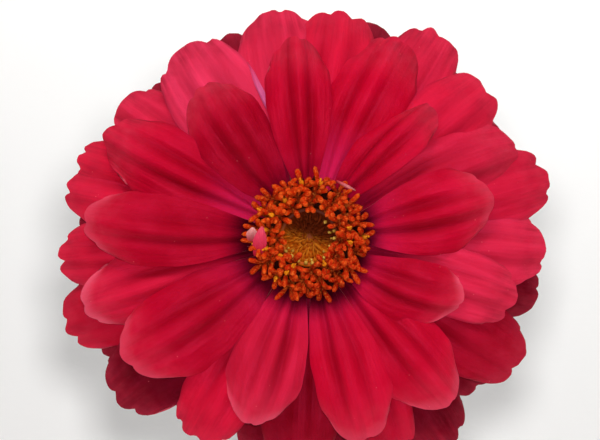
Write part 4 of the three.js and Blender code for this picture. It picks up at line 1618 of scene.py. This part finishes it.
# %% [markdown]
# ## Pot
# A plain machine-made clay pot: a tapering body, a thick collar, softly rounded edges and four drain
# holes. Its profile is spun, and the holes are cut out with four cylinders.

# %% Spin the pot
POT_PROFILE = [
    (0, 0), (29, 0), (32.5, 0), (33.6, 0.45), (34.2, 1.5), (37.6, 20), (41.8, 42), (46, 63.9),
    (49.6, 64.0), (50.7, 64.5), (51, 65.6), (51, 74), (51, 84.3), (50.55, 85.5), (49.4, 86),
    (47.5, 86), (46.6, 85.7), (46.06, 85.0), (43.3, 71), (37.5, 40), (31.6, 8.5), (30.6, 5.8), (29, 5),
    (15, 5), (0, 5),
]
bm = spun(POT_PROFILE, 128)
face_out(bm)
uncut_pot = object_from("uncut_pot", bm, [])
print("faces of the pot before its holes are cut:", len(uncut_pot.data.polygons))

# %% Cut the drain holes
DRAIN_RING = 20
DRAIN_ANGLES = (45, 135, 225, 315)
DRAIN_RADIUS = 4

drills = bmesh.new()
for angle in DRAIN_ANGLES:
    turn = Matrix.Rotation(math.radians(angle), 4, "Z")
    bmesh.ops.create_cone(
        drills, cap_ends=True, segments=32, radius1=DRAIN_RADIUS, radius2=DRAIN_RADIUS, depth=20,
        matrix=turn @ Matrix.Translation((DRAIN_RING, 0, 0)),
    )
drill = object_from("drills", drills, [])
cut = uncut_pot.modifiers.new("drain_holes", "BOOLEAN")
cut.operation = "DIFFERENCE"
cut.solver = "EXACT"
cut.object = drill
bpy.context.view_layer.update()
cut_pot = uncut_pot.evaluated_get(bpy.context.evaluated_depsgraph_get())
bm = bmesh.new()
bm.from_mesh(cut_pot.to_mesh())
cut_pot.to_mesh_clear()
bpy.data.objects.remove(uncut_pot)
bpy.data.objects.remove(drill)
print("faces of the pot with its holes:", len(bm.faces))


# %% Terracotta
def terracotta_material():
    """Fired clay: grainy, with faint turning lines and a pale bloom of lime."""
    material = new_material("terracotta")
    place = add("TexCoord", {}, {}).outputs["Object"]
    x, y, z = add("SeparateXYZ", {}, {0: place}).outputs
    band_place = place_from(times(x, 3.0), times(y, 3.0), times(z, 900.0))
    band_noise = add("TexNoise", {}, {"Vector": band_place, "Scale": 1.0, "Detail": 3.0})
    bands = band_noise.outputs["Fac"]
    lime = times(grain_of(0.02, 0.48, 0.72), shift(z, 0.03, 0.08, 0.12, 0.5))
    colour = layers(
        ramp(grain_of(0.012), (0, 172, 92, 62), (1, 194, 114, 82)),
        (shift(bands, 0.4, 0.7, 0, 0.25), 158, 82, 56),
        (times(grain_of(0.0007, 0.5, 0.72), 0.3), 212, 150, 122),
        (lime, 214, 186, 166),
    )
    height = plus(times(bands, 0.7), times(grain_of(0.0005), 0.5))
    return finish_surface(material, colour, shift(lime, 0, 0.5, 0.82, 0.92), height, 0.00018, 0.25)


finish_piece("clay_pot", bm, in_millimetres, [terracotta_material()], "pot")
